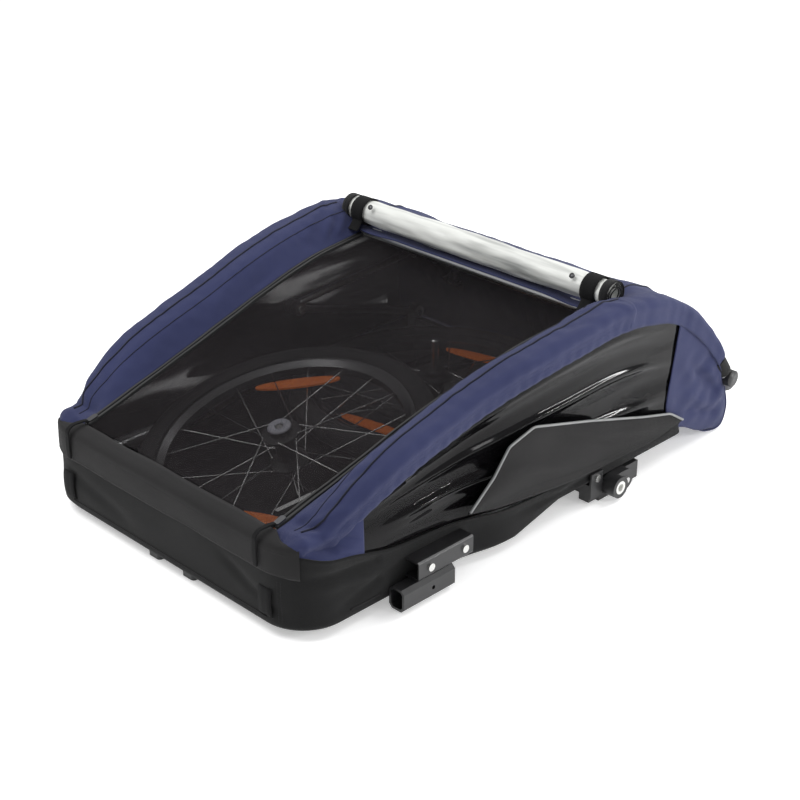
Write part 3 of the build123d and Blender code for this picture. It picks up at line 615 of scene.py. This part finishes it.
def ridge_height(y):
    """Height of the cloth over the cage tube."""
    slope = np.arctan2(cage_height(y + 8) - cage_height(y - 8), 16)
    return cage_height(y) + RIDGE_RISE / np.cos(slope)


def tub_edge(y):
    """Height of the tub's upper edge."""
    return curve(TUB_TOP, y)


def floor_height(y):
    """Height of the tub's floor, which steps up over the axle beam."""
    return np.interp(y, [-110, -10], [12, 36])


def hem_height(y):
    """Height of the canopy's lower hem."""
    return np.maximum(ridge_height(y) - SKIRT, tub_edge(y) + 8)


def outline_x(y):
    """Half width of the tub at y."""
    order = half_outline[half_outline[:, 1] < 300]
    order = order[np.argsort(order[:, 1])]
    return np.interp(y, order[:, 1], order[:, 0])


# ---- floor
bpy.ops.mesh.primitive_plane_add(size=60)
floor = bpy.context.object
floor.name = "floor"
floor_nodes = Nodes("studio_floor")
floor.data.materials.append(floor_nodes.finish(
    Base_Color=floor_nodes.ramp(floor_nodes.noise(3), (0.90, 0.90, 0.90), (0.92, 0.92, 0.92)), Roughness=0.8,
    Emission_Color=(1, 1, 1, 1), Emission_Strength=0.36))

# ---- tub
WALL_ROWS = 22
FLOOR_SHARES = (0.012, 0.03, 0.1, 0.25, 0.5, 0.8, 1.0)  # of the way from the wall to the floor's spine
ring = path(np.concatenate([(half_outline * [-1, 1])[::-1], half_outline[1:]]), 521, False)
ring_y = ring[:, 1]
spine = np.stack([np.zeros(len(ring)), np.clip(ring_y, -300, 90)], 1)
rows = []
for t in np.linspace(0, 1, WALL_ROWS):
    top, low = tub_edge(ring_y), floor_height(ring_y) + 8
    rows.append(np.c_[ring, top + (low - top) * t])
for t in FLOOR_SHARES:
    flat_point = ring + (spine - ring) * t * 0.98
    rise = 8 * (1 - step(t, 0.0, 0.035))
    rows.append(np.c_[flat_point, floor_height(flat_point[:, 1]) + rise])
tub = np.stack(rows, 1)
wall = np.r_[np.sin(np.linspace(0, math.pi, WALL_ROWS)), np.zeros(len(FLOOR_SHARES))][None]
run = lengths(ring)[:, None]
height = tub[:, :, 2]
amount = 1.6 * ripples(run, height, 4, 90, 1.7) - 2.2 * np.abs(ripples(run, height, 9, 150, 2.6)) + 1.2
side = np.sign(tub[:, :, 0])
amount += np.where(side > 0, -4.5 * crease(tub[:, :, 1], height, (-470, 30), (-300, 72), 9), 0)
amount += np.where(side < 0, -4.0 * crease(tub[:, :, 1], height, (-480, 64), (-330, 26), 10), 0)
amount += -3.5 * crease(tub[:, :, 0], height, (120, 88), (272, 34), 9) * (ring_y < -480)[:, None]
amount += -3.0 * crease(tub[:, :, 0], height, (-250, 80), (-60, 40), 11) * (ring_y < -480)[:, None]
amount += -6.5 * crease(tub[:, :, 1], height, (-500, 100), (-330, 84), 7)
amount += 3.0 * crease(tub[:, :, 1], height, (-490, 80), (-350, 66), 8)
amount += -4.0 * crease(tub[:, :, 1], height, (-130, 60), (110, 46), 8)
by_bracket = (tub[:, :, 1] > -370) & (tub[:, :, 1] < -205) & (np.abs(tub[:, :, 0]) > 280)
away_from_fittings = 1 - 0.8 * by_bracket
amount = np.minimum(amount, 1.6) * wall * away_from_fittings
over_rail = (side < 0) & (tub[:, :, 1] > -205)
amount = np.where(over_rail, np.maximum(amount, -1.0), amount)
amount[-1] = amount[0]
outwards = np.zeros_like(tub)
tangent = np.gradient(ring, axis=0)
outwards[:, :, 0] = (tangent[:, 1] / np.hypot(*tangent.T))[:, None]
outwards[:, :, 1] = (-tangent[:, 0] / np.hypot(*tangent.T))[:, None]
tub = tub + outwards * amount[..., None] - outwards * 1.25 * (wall > 0)[..., None]
tub = place(tub)
piece = shell("tub_cloth", tub, 0.0024, "black_polyester", True)
settle(piece, "base", "black_polyester", "tub_shell")


def on_tub(y_or_x, z, face, proud=0.0025):
    """Row-frame point on the tub's skin: on its front at x, or on its left side at y."""
    if face == "front":
        wanted = np.array([y_or_x, TUB_FRONT_Y]) * MM
        wanted[1] += DATUM_Y * MM
    else:
        wanted = np.array([outline_x(y_or_x) * (1 if face == "left" else -1), y_or_x + DATUM_Y]) * MM
    i = np.argmin(np.linalg.norm(tub[:, 2, :2] - wanted, axis=1))
    column = tub[i, :WALL_ROWS]
    j = np.argsort(column[:, 2])
    point = np.array([np.interp(z * MM, column[j, 2], column[j, k]) for k in range(3)])
    return point + outwards[i, 2] * proud


for sign, side_name in SIDES:
    for gap, label in ((0, "a"), (6, "b")):
        seam_line = [on_tub(sign * (250 + gap), z, "front", 0.0018) for z in np.linspace(24, 96, 40)]
        black_stitches(f"corner_stitches_{side_name}_{label}", seam_line)
lower_seam = [on_tub(x, 27, "front", 0.0016) for x in np.linspace(-226, 226, 160)]
settle(pipe("front_seam", lower_seam, 0.0011, "flap", 6), "base", "black_polyester")
for side_name in ("left", "right"):
    lower_seam = [on_tub(y, 30 if y < -110 else 50, side_name, 0.0016) for y in np.linspace(-430, -372, 40)]
    settle(pipe(f"side_seam_{side_name}", lower_seam, 0.0011, "flap", 6), "base", "black_polyester")

# ---- front flap with its turned-in lip
front = path(ring[ring_y < -494], 260, False)
tangent = np.gradient(front, axis=0)
out = np.stack([tangent[:, 1], -tangent[:, 0]], 1) / np.linalg.norm(tangent, axis=1, keepdims=True)
middle = step(232 - np.abs(front[:, 0]), -34, 14)
low = tub_edge(front[:, 1]) - 36
high = np.maximum(tub_edge(front[:, 1]) + 7, 132)
rows = []
for t in np.linspace(0, 1, 16):
    bow = 1.2 * math.sin(math.pi * t) * middle
    proud = -0.6 + 2.2 * step(t, 0.0, 0.12) * (0.45 + 0.55 * middle)
    rows.append(np.c_[front + out * (proud + bow)[:, None], low + (high - low) * t])
for t, rise in ((2, 3.0), (6, 5.6), (13, 7.4), (21, 8.4), (29, 8.8)):
    depth = t * (0.28 + 0.72 * middle)
    back = depth - 1.6 * (0.45 + 0.55 * middle)
    rows.append(np.c_[front - out * back[:, None], high + rise * (0.55 + 0.45 * middle)])
flap = np.stack(rows, 1)
flap_run = lengths(front)[:, None]
bump = 0.7 * ripples(flap_run, flap[:, :, 2], 21, 70, 1.6)
flap = flap + np.concatenate([out, np.zeros((len(out), 1))], 1)[:, None] * bump[..., None]
seam_low, seam_high = place(flap[6:-6, 2]), place(flap[6:-6, 13])
flap = place(flap)
piece = settle(shell("front_flap_cloth", flap, 0.002, "flap"), "base", "black_polyester", "front_flap")
out3 = np.concatenate([out, np.zeros((len(out), 1))], 1)[6:-6]
for label, line in (("low", seam_low), ("high", seam_high)):
    black_stitches(f"flap_stitches_{label}", line + out3 * 0.0013)


# ---- canopy bands
def band_grid(seed):
    """The left band: from the zip over the cage tube and down to the hem."""
    ys = np.concatenate([np.linspace(-504, -470, 12)[:-1], np.linspace(-470, ROOF_FRONT_Y + 6, 190)])
    sections = []
    for y in ys:
        ahead = max(0.0, ZIP_FRONT_Y - y)
        zip_y = max(y, ZIP_FRONT_Y)
        x, ridge = curve(CAGE, zip_y, 1), ridge_height(zip_y)
        limit = outline_x(max(y, -513)) - 3 if y < -440 else math.inf
        hem = hem_height(zip_y)
        points = [(curve(ZIP, zip_y, 1), curve(ZIP, zip_y, 2)), (x - 26, ridge - 2.4), (x - 5, ridge),
                  (x + 9, ridge - 3), (x + 14, ridge - 9), (x + 12.5, (ridge + hem) / 2 - 4),
                  (x + 11, hem)]
        points = [(min(px, limit), pz - 0.75 * ahead) for px, pz in points]
        sections.append(np.c_[[(px, y, pz) for px, pz in path(points, 34)]])
    grid = np.array(sections)
    y, v = grid[:, :, 1], np.linspace(0, 100, 34)[None]
    amount = 0.7 * ripples(y, v, seed, 60, 1.5) + 0.35 * ripples(y, v, seed + 1, 22, 1.3)
    add_creases(amount, y, v, (
        ((40, 8), (112, 50), 5, 3.2), ((62, 4), (118, 30), 4, 2.6), ((10, 22), (100, 62), 6, 2.4),
        ((70, 40), (124, 78), 4.5, 2.4), ((-20, 48), (60, 78), 6, -1.8), ((-470, 30), (-400, 88), 6, 2.6),
        ((-482, 55), (-420, 96), 5, 2.2), ((-440, 20), (-350, 66), 7, -2.0), ((-300, 60), (-190, 92), 6, 1.6),
        ((-230, 14), (-120, 44), 8, 1.5), ((-120, 66), (-20, 95), 6, 1.6)))
    puckered = np.sin(y / 3.4) * np.exp(-((v - 98) / 9) ** 2) * 0.5
    fixed = step(v, 0, 12)
    return pushed(grid, (amount + puckered) * fixed, (0.4, 0, 1))


for sign, side_name, seed in ((1, "left", 31), (-1, "right", 57)):
    band = band_grid(seed)
    band_normal = normals(band)
    if band_normal[:, 10, 2].mean() < 0:
        band_normal = -band_normal
    lines = {key: band[first:-2, k] + band_normal[first:-2, k] * proud
             for key, first, k, proud in (("ridge", 8, 17, 1.2), ("seam", 8, 11, 0.9),
                                          ("hem", 10, 30, 1.1), ("hem2", 10, 28, 1.1))}
    if sign < 0:
        band = flipped(band)
        lines = {key: line * [-1, 1, 1] for key, line in lines.items()}
    band = place(band)
    piece = shell(f"canopy_band_cloth_{side_name}", band, NYLON, "navy_nylon")
    settle(piece, "roll_cage", "navy_nylon", f"canopy_band_{side_name}")
    piece = pipe(f"ridge_piping_{side_name}", place(lines["ridge"]), 0.0016, "seam")
    settle(piece, "roll_cage", "navy_nylon")
    piece = pipe(f"band_seam_{side_name}", place(lines["seam"]), 0.0008, "seam", 6)
    settle(piece, "roll_cage", "navy_nylon")
    for key in ("hem", "hem2"):
        stitches(f"{key}_stitches_{side_name}", place(lines[key]), "roll_cage", "navy_nylon")

# ---- roof over the rear bay
ys = np.linspace(ROOF_FRONT_Y - 3, ROOF_REAR_Y + 4, 110)
sections = []
for y in ys:
    x, ridge, hem = curve(CAGE, y, 1), ridge_height(y), hem_height(y)
    blend_in = step(y, 150, 215)
    centre = ROOF_HEIGHT * (1 - blend_in) + (ridge - 2) * blend_in
    half = [(x + 11, hem), (x + 12.5, (ridge + hem) / 2 - 4), (x + 14, ridge - 9), (x + 9, ridge - 3),
            (x - 5, ridge), (x - 26, ridge - 3), (x - 52, centre + 0.25 * (ridge - centre)),
            (150, centre), (50, centre)]
    points = half + [(-px, pz) for px, pz in half[::-1]]
    sections.append([(px, y, pz) for px, pz in path(points, 150)])
roof = np.array(sections)
x, y = roof[:, :, 0], roof[:, :, 1]
amount = 0.9 * ripples(x, y, 71, 80, 1.4) + 0.4 * ripples(x, y, 72, 26)
add_creases(amount, x, y, (
    ((200, 180), (300, 300), 8, 2.5), ((-300, 190), (-190, 320), 8, 2.5), ((60, 240), (230, 350), 9, 2),
    ((-240, 230), (-40, 330), 9, -2), ((-120, 350), (130, 366), 7, 2.4)))
amount *= step(y, 124, 150)
roof = place(pushed(roof, amount, (0, 0, 1)))
piece = shell("canopy_roof_cloth", roof, NYLON, "navy_nylon")
settle(piece, "roll_cage", "navy_nylon", "canopy_roof", "roof_sides")
for k, side_name in ((22, "left"), (127, "right")):
    piece = pipe(f"roof_piping_{side_name}", roof[2:-2, k] + [0, 0, 0.0012], 0.0014, "seam")
    settle(piece, "roll_cage", "navy_nylon")

# ---- windscreen and its zips
ys = np.linspace(SCREEN_FRONT_Y, SCREEN_REAR_Y, 130)
us = np.linspace(-1, 1, 90)
half_width, level = curve(ZIP, ys, 1) - 8, curve(ZIP, ys, 2)
along = (ys[:, None] - SCREEN_FRONT_Y) / (SCREEN_REAR_Y - SCREEN_FRONT_Y)
grid = grid_of(half_width[:, None] * us, ys[:, None],
               level[:, None] - 5 * (1 - us**2) * np.sin(math.pi * along) ** 0.7)
grid[:, :, 2] += 1.1 * ripples(grid[:, :, 0], grid[:, :, 1], 81, 190, 1.2) * (1 - us**4)
grid[:, :, 2] -= 1.6 * crease(grid[:, :, 0], grid[:, :, 1], (-180, -60), (-40, 110), 16)
screen = place(grid)
piece = shell("windscreen_cloth", screen, 0.0006, "dark_mesh")
settle(piece, "roll_cage", "dark_mesh", "windscreen_mesh")
for sign, side_name in SIDES:
    ys = np.linspace(SCREEN_FRONT_Y, ROOF_FRONT_Y - 1, 200)
    zx, zz = curve(ZIP, ys, 1), curve(ZIP, ys, 2)
    tape = np.stack([np.stack([sign * (zx + shift), ys, zz + rise], 1)
                     for shift, rise in ((-13, 0.0), (-9, 0.9), (-6, 1.1), (-3, 0.9), (1.5, 0.3))], 1)
    piece = shell(f"zip_tape_{side_name}", place(tape), 0.0012, "zip_tape")
    settle(piece, "roll_cage", "zip_tape", *claimed("zip_tapes", sign > 0))
    for k, shift in enumerate((-9.6, -2.4)):
        wobble = 0.5 * np.sin(ys / 31 + 2 * k) + 0.25 * np.sin(ys / 13)
        coil = place(np.stack([sign * (zx + shift + wobble), ys, zz + 2.3], 1))
        settle(pipe(f"zip_coil_{side_name}_{k}", coil, 0.0022, "zip_coil", 10), "roll_cage", "zip_tape")

# ---- side windows and gussets, hem to tub's edge
# Long folds in the slack film: share of its height at its front and rear end, width as a share, depth.
WINDOW_FOLDS = ((0.20, 0.12, 0.07, -5.0), (0.36, 0.30, 0.04, 7.5), (0.52, 0.44, 0.07, -7.0),
                (0.66, 0.60, 0.035, 7.5), (0.78, 0.76, 0.06, -5.0), (0.90, 0.90, 0.03, 4.0))
# Side view of the slack rear cloth: from the roof's rear edge down to the floor and back to the tub.
REAR_FOLD = [(384, 175), (402, 154), (420, 124), (438, 76), (447, 34), (437, 9), (392, 10), (344, 40),
             (318, 66)]
REAR_HALF = 308.0
rear_fold = path(REAR_FOLD, 70)
lowest = int(np.argmin(rear_fold[:50, 1]))


def gusset(name, top, bottom, start, end, seed, puckers):
    """A puckered navy piece between four edges, sewn to the tub below and to the canopy above."""
    grid = coons(path(top, 60), path(bottom, 60), path(start, 34), path(end, 34))
    y, z = grid[:, :, 1], grid[:, :, 2]
    u, v = np.linspace(0, 1, 60)[:, None], np.linspace(0, 1, 34)[None]
    inside = np.sin(math.pi * u) ** 0.5 * np.sin(math.pi * v) ** 0.5
    amount = 2.2 * ripples(y, z, seed, 44, 1.2)
    add_creases(amount, y, z, puckers)
    side = 1 if grid[:, :, 0].mean() > 0 else -1
    grid[:, :, 0] += side * np.clip(amount, -7, 4) * inside
    placed = place(grid)
    made = shell(name, placed, 0.0014, "navy_nylon")
    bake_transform(made)


for sign, side_name in SIDES:
    y = np.linspace(-500, -400, 12)
    high_x = np.minimum(curve(CAGE, y, 1) + 11.5, outline_x(y) - 0.5)
    high = np.c_[sign * high_x, y, hem_height(y) + 3]
    low = np.c_[sign * (outline_x(y) - 1.5), y, tub_edge(y) - 1]
    gusset(f"corner_gusset_{side_name}", high, low, np.linspace(high[0], low[0], 5),
           np.linspace(high[-1], low[-1], 5), 141 + sign,
           (((-470, 138), (-402, 112), 4, 3), ((-440, 150), (-400, 128), 4, -3)))
    edge = rear_fold[(rear_fold[:, 1] < 142) & (np.arange(70) <= lowest)]
    rear_edge = np.c_[np.full(len(edge), sign * REAR_HALF), edge]
    y = np.linspace(258, 388, 12)
    high = np.r_[np.c_[sign * (curve(CAGE, y, 1) + 9.8), y, hem_height(y) + 7], rear_edge[:1]]
    y = np.array([262, 310, 356, 400.0])
    low = np.r_[np.c_[sign * np.array([316.5, 317.5, 314, 310]), y, [64, 50, 26, 12.0]], rear_edge[-1:]]
    front_edge = path([high[0], (sign * 324.3, 256, 170), (sign * 319.8, 254, 110), low[0]], 9)
    gusset(f"rear_gusset_{side_name}", high, low, front_edge, rear_edge, 151 + sign,
           (((300, 170), (400, 90), 8, -6), ((296, 120), (390, 60), 8, 4), ((300, 84), (420, 40), 7, -6),
            ((350, 150), (420, 70), 6, 4)))

for sign, side_name, seed in ((1, "left", 91), (-1, "right", 95)):
    ys = np.linspace(-404, 284, 170)
    vs = np.linspace(0, 1, 110) ** 1.2
    low_z, high_z = tub_edge(ys) + 1, np.maximum(hem_height(ys) + 9, tub_edge(ys) + 5)
    low_x, high_x = outline_x(ys) - 5, curve(CAGE, ys, 1) + 6.5
    tall = (high_z - low_z)[:, None]
    grid = grid_of(low_x[:, None] + (high_x - low_x)[:, None] * vs, ys[:, None], low_z[:, None] + tall * vs)
    y, z = grid[:, :, 1], grid[:, :, 2]
    amount = 0.8 * ripples(y, z * 1.3, seed, 90, 4.5) - 8 * np.sin(math.pi * vs)[None] * step(tall, 20, 120)
    length = np.linspace(0, 1, 170)[:, None]
    for first, last, width, depth in WINDOW_FOLDS:
        follows = first + (last - first) * length + 0.01 * np.sin(5 * length + 9 * first + seed)
        amount += depth * np.exp(-((vs[None] - follows) / width) ** 2) * step(length, 0.02, 0.3)
    amount += 7 * np.exp(-((length - 0.13) / 0.10) ** 2 - ((vs[None] - 0.3) / 0.2) ** 2)
    amount = amount * np.sin(math.pi * vs)[None] ** 0.6 * step(tall, 4, 60) * step(1 - length, 0.0, 0.25)
    grid[:, :, 0] += 6 * np.tanh(amount / 9) * 1.5
    if sign < 0:
        grid = flipped(grid)
    window = place(grid)
    piece = shell(f"window_film_{side_name}", window, 0.0008, "clear_film")
    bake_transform(piece)
    if sign > 0:
        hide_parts("side_windows")

# ---- black side panels with silver piping
PANEL_TOP = [(-218, 102), (-166, 143), (-134, 181), (-80, 194), (50, 157), (189, 114), (262, 94), (302, 68)]
PANEL_LOW = [(-218, 102), (-132, 84), (-45, 72), (29, 64), (151, 60), (205, 58), (241, 60), (302, 68)]
PANEL_X = 322.2
for sign, side_name, seed in ((1, "left", 101), (-1, "right", 104)):
    top = rounded(PANEL_TOP, [12, 12, 20, 60, 80, 30])
    top, bottom = path(top, 130, False), path(PANEL_LOW, 130)
    vs = np.linspace(0, 1, 30)[None, :, None]
    flat = top[:, None] * (1 - vs) + bottom[:, None] * vs
    y, z = flat[:, :, 0], flat[:, :, 1]
    amount = 1.2 * ripples(y, z, seed, 70, 1.8)
    add_creases(amount, y, z, (((-150, 150), (20, 96), 9, 2.6), ((-60, 170), (120, 92), 8, -2.4),
                               ((60, 130), (230, 80), 7, 2.4)))
    bulge = 2.5 * np.sin(math.pi * vs[..., 0])
    free = np.sin(math.pi * vs[..., 0]) ** 0.5 * step(np.minimum(y + 218, 302 - y), 0, 30)
    x = PANEL_X + (amount + bulge) * free
    panel = place(np.stack([sign * np.clip(x, PANEL_X - 1, 328), y, z], 2))
    piece = shell(f"side_panel_cloth_{side_name}", panel, 0.0018, "flap")
    settle(piece, "base", "black_polyester", *claimed("side_panels", sign > 0))
    line = panel[1:-1, 0] + [sign * 0.0022, 0, 0]
    piece = pipe(f"panel_piping_bead_{side_name}", line, 0.002, "reflective_tape", 10)
    settle(piece, "base", "reflective_tape", *claimed("panel_piping", sign > 0))
    line = panel[6:-6, 25] + [sign * 0.0016, 0, 0]
    black_stitches(f"panel_stitches_{side_name}", line)

# ---- slack rear cloth, folded down to the floor
xs = np.linspace(-REAR_HALF - 2, REAR_HALF + 2, 170)
grid = grid_of(xs[:, None], rear_fold[:, 0], rear_fold[:, 1])
v = np.linspace(0, 1, 70)[None]
slack = step(v, 0.04, 0.35) * step(1 - v, 0.0, 0.2)
amount = 4.0 * ripples(grid[:, :, 0], v * 160, 121, 70, 0.6) * slack
pleats = np.sin(grid[:, :, 0] / 16 + 2 * ripples(xs[:, None], v * 160, 123, 200))
amount += 3.5 * pleats * slack * step(v, 0.1, 0.4)
amount = np.clip(amount, -9, 3) * (1 - np.abs(grid[:, :, 0] / (REAR_HALF + 2)) ** 10)
grid = pushed(grid, amount, (0, 1, 0.2))
grid[:, :, 2] = np.maximum(grid[:, :, 2], 2.5)
grid[:, :, 1] = np.minimum(grid[:, :, 1], 450)
rear = place(grid)
piece = shell("rear_cloth", rear, NYLON, "navy_nylon")
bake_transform(piece)
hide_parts("rear_panel")

# ---- rolled rain cover and its straps
ROLL_CENTRE = (139.0, 327.0)
ROLL_INNER, ROLL_OUTER = 8.0, 21.0
TURNS = 4.5
STRAP_X = 254.0
turn = np.linspace(0, 2 * math.pi * TURNS, 300)
radius = ROLL_INNER + (ROLL_OUTER - ROLL_INNER) * turn / turn[-1]
xs = np.linspace(-290, 290, 180)
outer = step(turn, turn[-1] - 7.0, turn[-1] - 4.0)[None]
pinch = np.exp(-((np.abs(xs) - STRAP_X) / 13) ** 4)[:, None]
wrinkle = (0.9 * ripples(xs[:, None], turn[None] * 20, 131, 34, 6.0)
           + 0.35 * ripples(xs[:, None], turn[None] * 20, 133, 15, 5.0))
wrinkle = np.clip(wrinkle * outer * (1 - pinch), -1.1, 1.5)
fuller = 0.13 * np.clip(1 - (xs / 235) ** 2, 0, 1)[:, None] ** 0.7
r = radius[None] * (1 - 0.03 * pinch + fuller) + 1.5 * wrinkle
stray_end = (np.sign(xs) * (np.abs(xs) > 280))[:, None]
cover = place(grid_of(xs[:, None] + 1.5 * np.sin(turn * 1.3)[None] * stray_end,
                      ROLL_CENTRE[0] + r * np.cos(turn + 2.2), ROLL_CENTRE[1] + r * np.sin(turn + 2.2)))
piece = settle(shell("rain_cover_film", cover, 0.0005, "cover"), "roll_cage", "clear_film", "rain_cover_roll")


def round_roll(xs, half_depth, half_height, drop=0.0):
    """A band round the roll at each of xs."""
    around = np.linspace(0, 2 * math.pi, 60)[:, None]
    return place(grid_of(xs, ROLL_CENTRE[0] + half_depth * np.cos(around),
                         ROLL_CENTRE[1] + half_height * np.sin(around) - drop))


for sign, side_name in SIDES:
    end_line = cover[-1 if sign > 0 else 0, 20::2] + [sign * 0.0006, 0, 0]
    settle(pipe(f"cover_binding_{side_name}", end_line, 0.0011, "zip_tape", 6), "roll_cage", "zip_tape")
    collar = round_roll(sign * np.linspace(276, 291, 4), 22.0, 21.6)
    piece = shell(f"cover_collar_{side_name}", collar, 0.0012, "zip_tape", True)
    settle(piece, "roll_cage", "zip_tape")
    strap = round_roll(sign * STRAP_X + np.linspace(-14, 14, 5), 23.4, 23.0, 0.8)
    piece = shell(f"roll_strap_{side_name}", strap, 0.0014, "webbing", True)
    settle(piece, "roll_cage", "webbing", *claimed("roll_straps", sign > 0))
    tail = grid_of(sign * STRAP_X + np.linspace(-11, 11, 4),
                   ROLL_CENTRE[0] - np.linspace(20, 34, 14)[:, None],
                   ROLL_CENTRE[1] - 12 - 15 * np.sin(np.linspace(0, 1.5, 14))[:, None])
    settle(shell(f"strap_tail_{side_name}", place(tail), 0.0014, "webbing"), "roll_cage", "webbing")

for x, side_name in ((-222, "right"), (222, "left")):
    at = place([(x, ROLL_CENTRE[0] - 16.5, ROLL_CENTRE[1] + 14.5)])[0]
    lean = np.array([0, -0.75, 0.66])
    line = [at + lean * rise for rise in (0.0042, 0.0052, 0.0062, 0.0066)]
    settle(pipe(f"cover_snap_{side_name}", line, 0.0045, "slider_metal", 20), "roll_cage", "slider_metal")

# ---- seat pad and harness
us, vs = np.meshgrid(np.linspace(0, 2 * math.pi, 160), np.linspace(0, 1, 26), indexing="ij")
PAD_Y, PAD_HALF_WIDTH, PAD_HALF_LENGTH = 142.0, 233.0, 127.0
PAD_MIDDLE, PAD_LOWEST = 51.5, 45.6
SQUARENESS = 0.22            # the pad's outline: 1 is an ellipse, 0 a rectangle
cu, su = np.cos(us), np.sin(us)
px = PAD_HALF_WIDTH * np.sign(cu) * np.abs(cu) ** SQUARENESS * np.cos(math.pi / 2 * (vs ** 2.2))
py = PAD_Y + PAD_HALF_LENGTH * np.sign(su) * np.abs(su) ** SQUARENESS * np.cos(math.pi / 2 * (vs ** 2.2))
px[-1], py[-1] = px[0], py[0]
channel = sum(np.exp(-((px - c) / 5) ** 2) for c in (-120, 0, 120))
crown = PAD_MIDDLE + 7.6 * np.sin(math.pi / 2 * vs) ** 0.7 - 2.6 * channel * step(vs, 0.1, 0.4)
vertices = np.concatenate([np.stack([px, py, z], 2).reshape(-1, 3) for z in (crown, 2 * PAD_MIDDLE - crown)])
under = vertices[len(vertices) // 2:]
under[:, 2] = np.maximum(under[:, 2], PAD_LOWEST)
index = np.arange(2 * 160 * 26).reshape(2, 160, 26)
faces = [(index[k, i, j], index[k, i + 1, j], index[k, i + 1, j + 1], index[k, i, j + 1])[::turned]
         for k, turned in ((0, 1), (1, -1)) for i in range(159) for j in range(25)]
pad = settle(add_mesh("seat_pad", place(vertices), faces, "padding"), "base", "padding", "seat_back")
for k, x in enumerate((-150, -90, 90, 150)):
    ys = np.linspace(60, 236, 60)[:, None]
    strip = grid_of(x + np.linspace(-12, 12, 5) + 2 * np.sin(ys / 30 + k), ys,
                    61.3 + 0.5 * np.sin(ys / 17 + 2 * k))
    piece = shell(f"harness_strap_{k}", place(strip), 0.0016, "webbing")
    settle(piece, "base", "webbing", *claimed("harness_straps", k == 0))

# ---- small fabric fittings
for sign, side_name in SIDES:
    z = np.linspace(32, 76, 26)[:, None]
    loop = grid_of(sign * 229.5 + np.linspace(-13, 13, 4),
                   -518.2 - 3.2 * np.sin(math.pi * (z - 32) / 44) ** 0.4, z)
    piece = shell(f"corner_loop_{side_name}", place(loop), 0.0018, "webbing")
    settle(piece, "base", "webbing", *claimed("corner_loops", sign > 0))
    line = [(-487, 157), (-500, 158.5), (-517, 157), (-523, 152), (-524, 140), (-524.5, 122), (-523.5, 106)]
    line = path(line, 40)
    width = np.interp(np.arange(40), [0, 14, 20, 34, 39], [3.2, 3.4, 4.8, 5.0, 3.6])[:, None]
    pull = grid_of(sign * 216.4 + width * np.linspace(-1, 1, 5), line[:, :1], line[:, 1:])
    piece = shell(f"pull_tab_{side_name}", place(pull), 0.0022, "webbing")
    settle(piece, f"zip_pull_{side_name}", "webbing", f"zip_pull_{side_name}")
    sleeve = path([(sign * 320.2, 386, 150.2), (sign * 320.2, 398, 134.8), (sign * 320.1, 408, 121.6)], 24)
    piece = pipe(f"corner_sleeve_{side_name}", place(sleeve), 0.0148, "black_polyester", 26)
    settle(piece, "roll_cage", "black_polyester")

low_corner, high_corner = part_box("handle_grip")
grip_y, grip_z = (low_corner.y + high_corner.y) / 2, (low_corner.z + high_corner.z) / 2
us = np.linspace(low_corner.x, high_corner.x, 120)
ends = np.minimum(us - us[0], us[-1] - us)
profile = 0.0095 + 0.0045 * np.sqrt(np.clip(1 - (1 - np.clip(ends / 0.005, 0, 1)) ** 2, 0, 1))
GRIP_SIDES = 28
vertices = []
for u, r in zip(us, profile):
    vertices += [(u, grip_y + r * math.cos(k), grip_z + r * math.sin(k))
                 for k in np.arange(GRIP_SIDES) * 2 * math.pi / GRIP_SIDES]
index = np.arange(len(vertices)).reshape(-1, GRIP_SIDES)
after = np.roll(index, -1, axis=1)
faces = [(index[i, k], index[i + 1, k], after[i + 1, k], after[i, k])
         for i in range(len(index) - 1) for k in range(GRIP_SIDES)]
faces += [tuple(index[0]), tuple(index[-1][::-1])]
settle(add_mesh("grip_foam", vertices, faces, "grey_foam"), "push_handle", "grey_foam", "handle_grip")

for sign, side_name in SIDES:
    sleeve = path([(sign * 262, 471.6, 63.6), (sign * 280, 471.0, 64.1), (sign * 295, 464, 70),
                   (sign * 302, 452, 80), (sign * 303, 440, 90), (sign * 303, 430, 98.5)], 44)
    piece = pipe(f"grip_sleeve_{side_name}", place(sleeve), 0.0125, "grey_foam", 24)
    settle(piece, "push_handle", "grey_foam")
    hinge_cover = place([(sign * x, 421, 106) for x in (312.0, 313.0, 323.0, 334.0, 335.0)])
    piece = pipe(f"hinge_cover_{side_name}", hinge_cover, 0.0145, "black_plastic", 32)
    settle(piece, "roll_cage", "black_plastic")

# ---- pale cap ring round the front hub's button
FRONT_HUB = (0.0, -279.0, 114.5)
FRONT_TILT = math.radians(16.0)
BUTTON_RISE = 0.0402         # from the hub's centre to the face of its button, m
cap_axis = np.array([0, -math.sin(FRONT_TILT), math.cos(FRONT_TILT)])
cap_centre = place([FRONT_HUB])[0] + cap_axis * BUTTON_RISE
cap_side = np.array([1.0, 0, 0])
cap_other = np.cross(cap_axis, cap_side)
around = np.linspace(0, 2 * math.pi, 72)
spoke = np.cos(around)[:, None] * cap_side + np.sin(around)[:, None] * cap_other
cap = np.stack([cap_centre + r * spoke + h * cap_axis
                for r, h in ((0.0062, 0.0006), (0.009, 0.0013), (0.0145, 0.0015), (0.0172, 0.0011),
                             (0.0182, -0.0004))], 1)
settle(shell("hub_cap_front", cap, 0.0008, "hub_cap", True), "front_wheel", "hub_plastic")
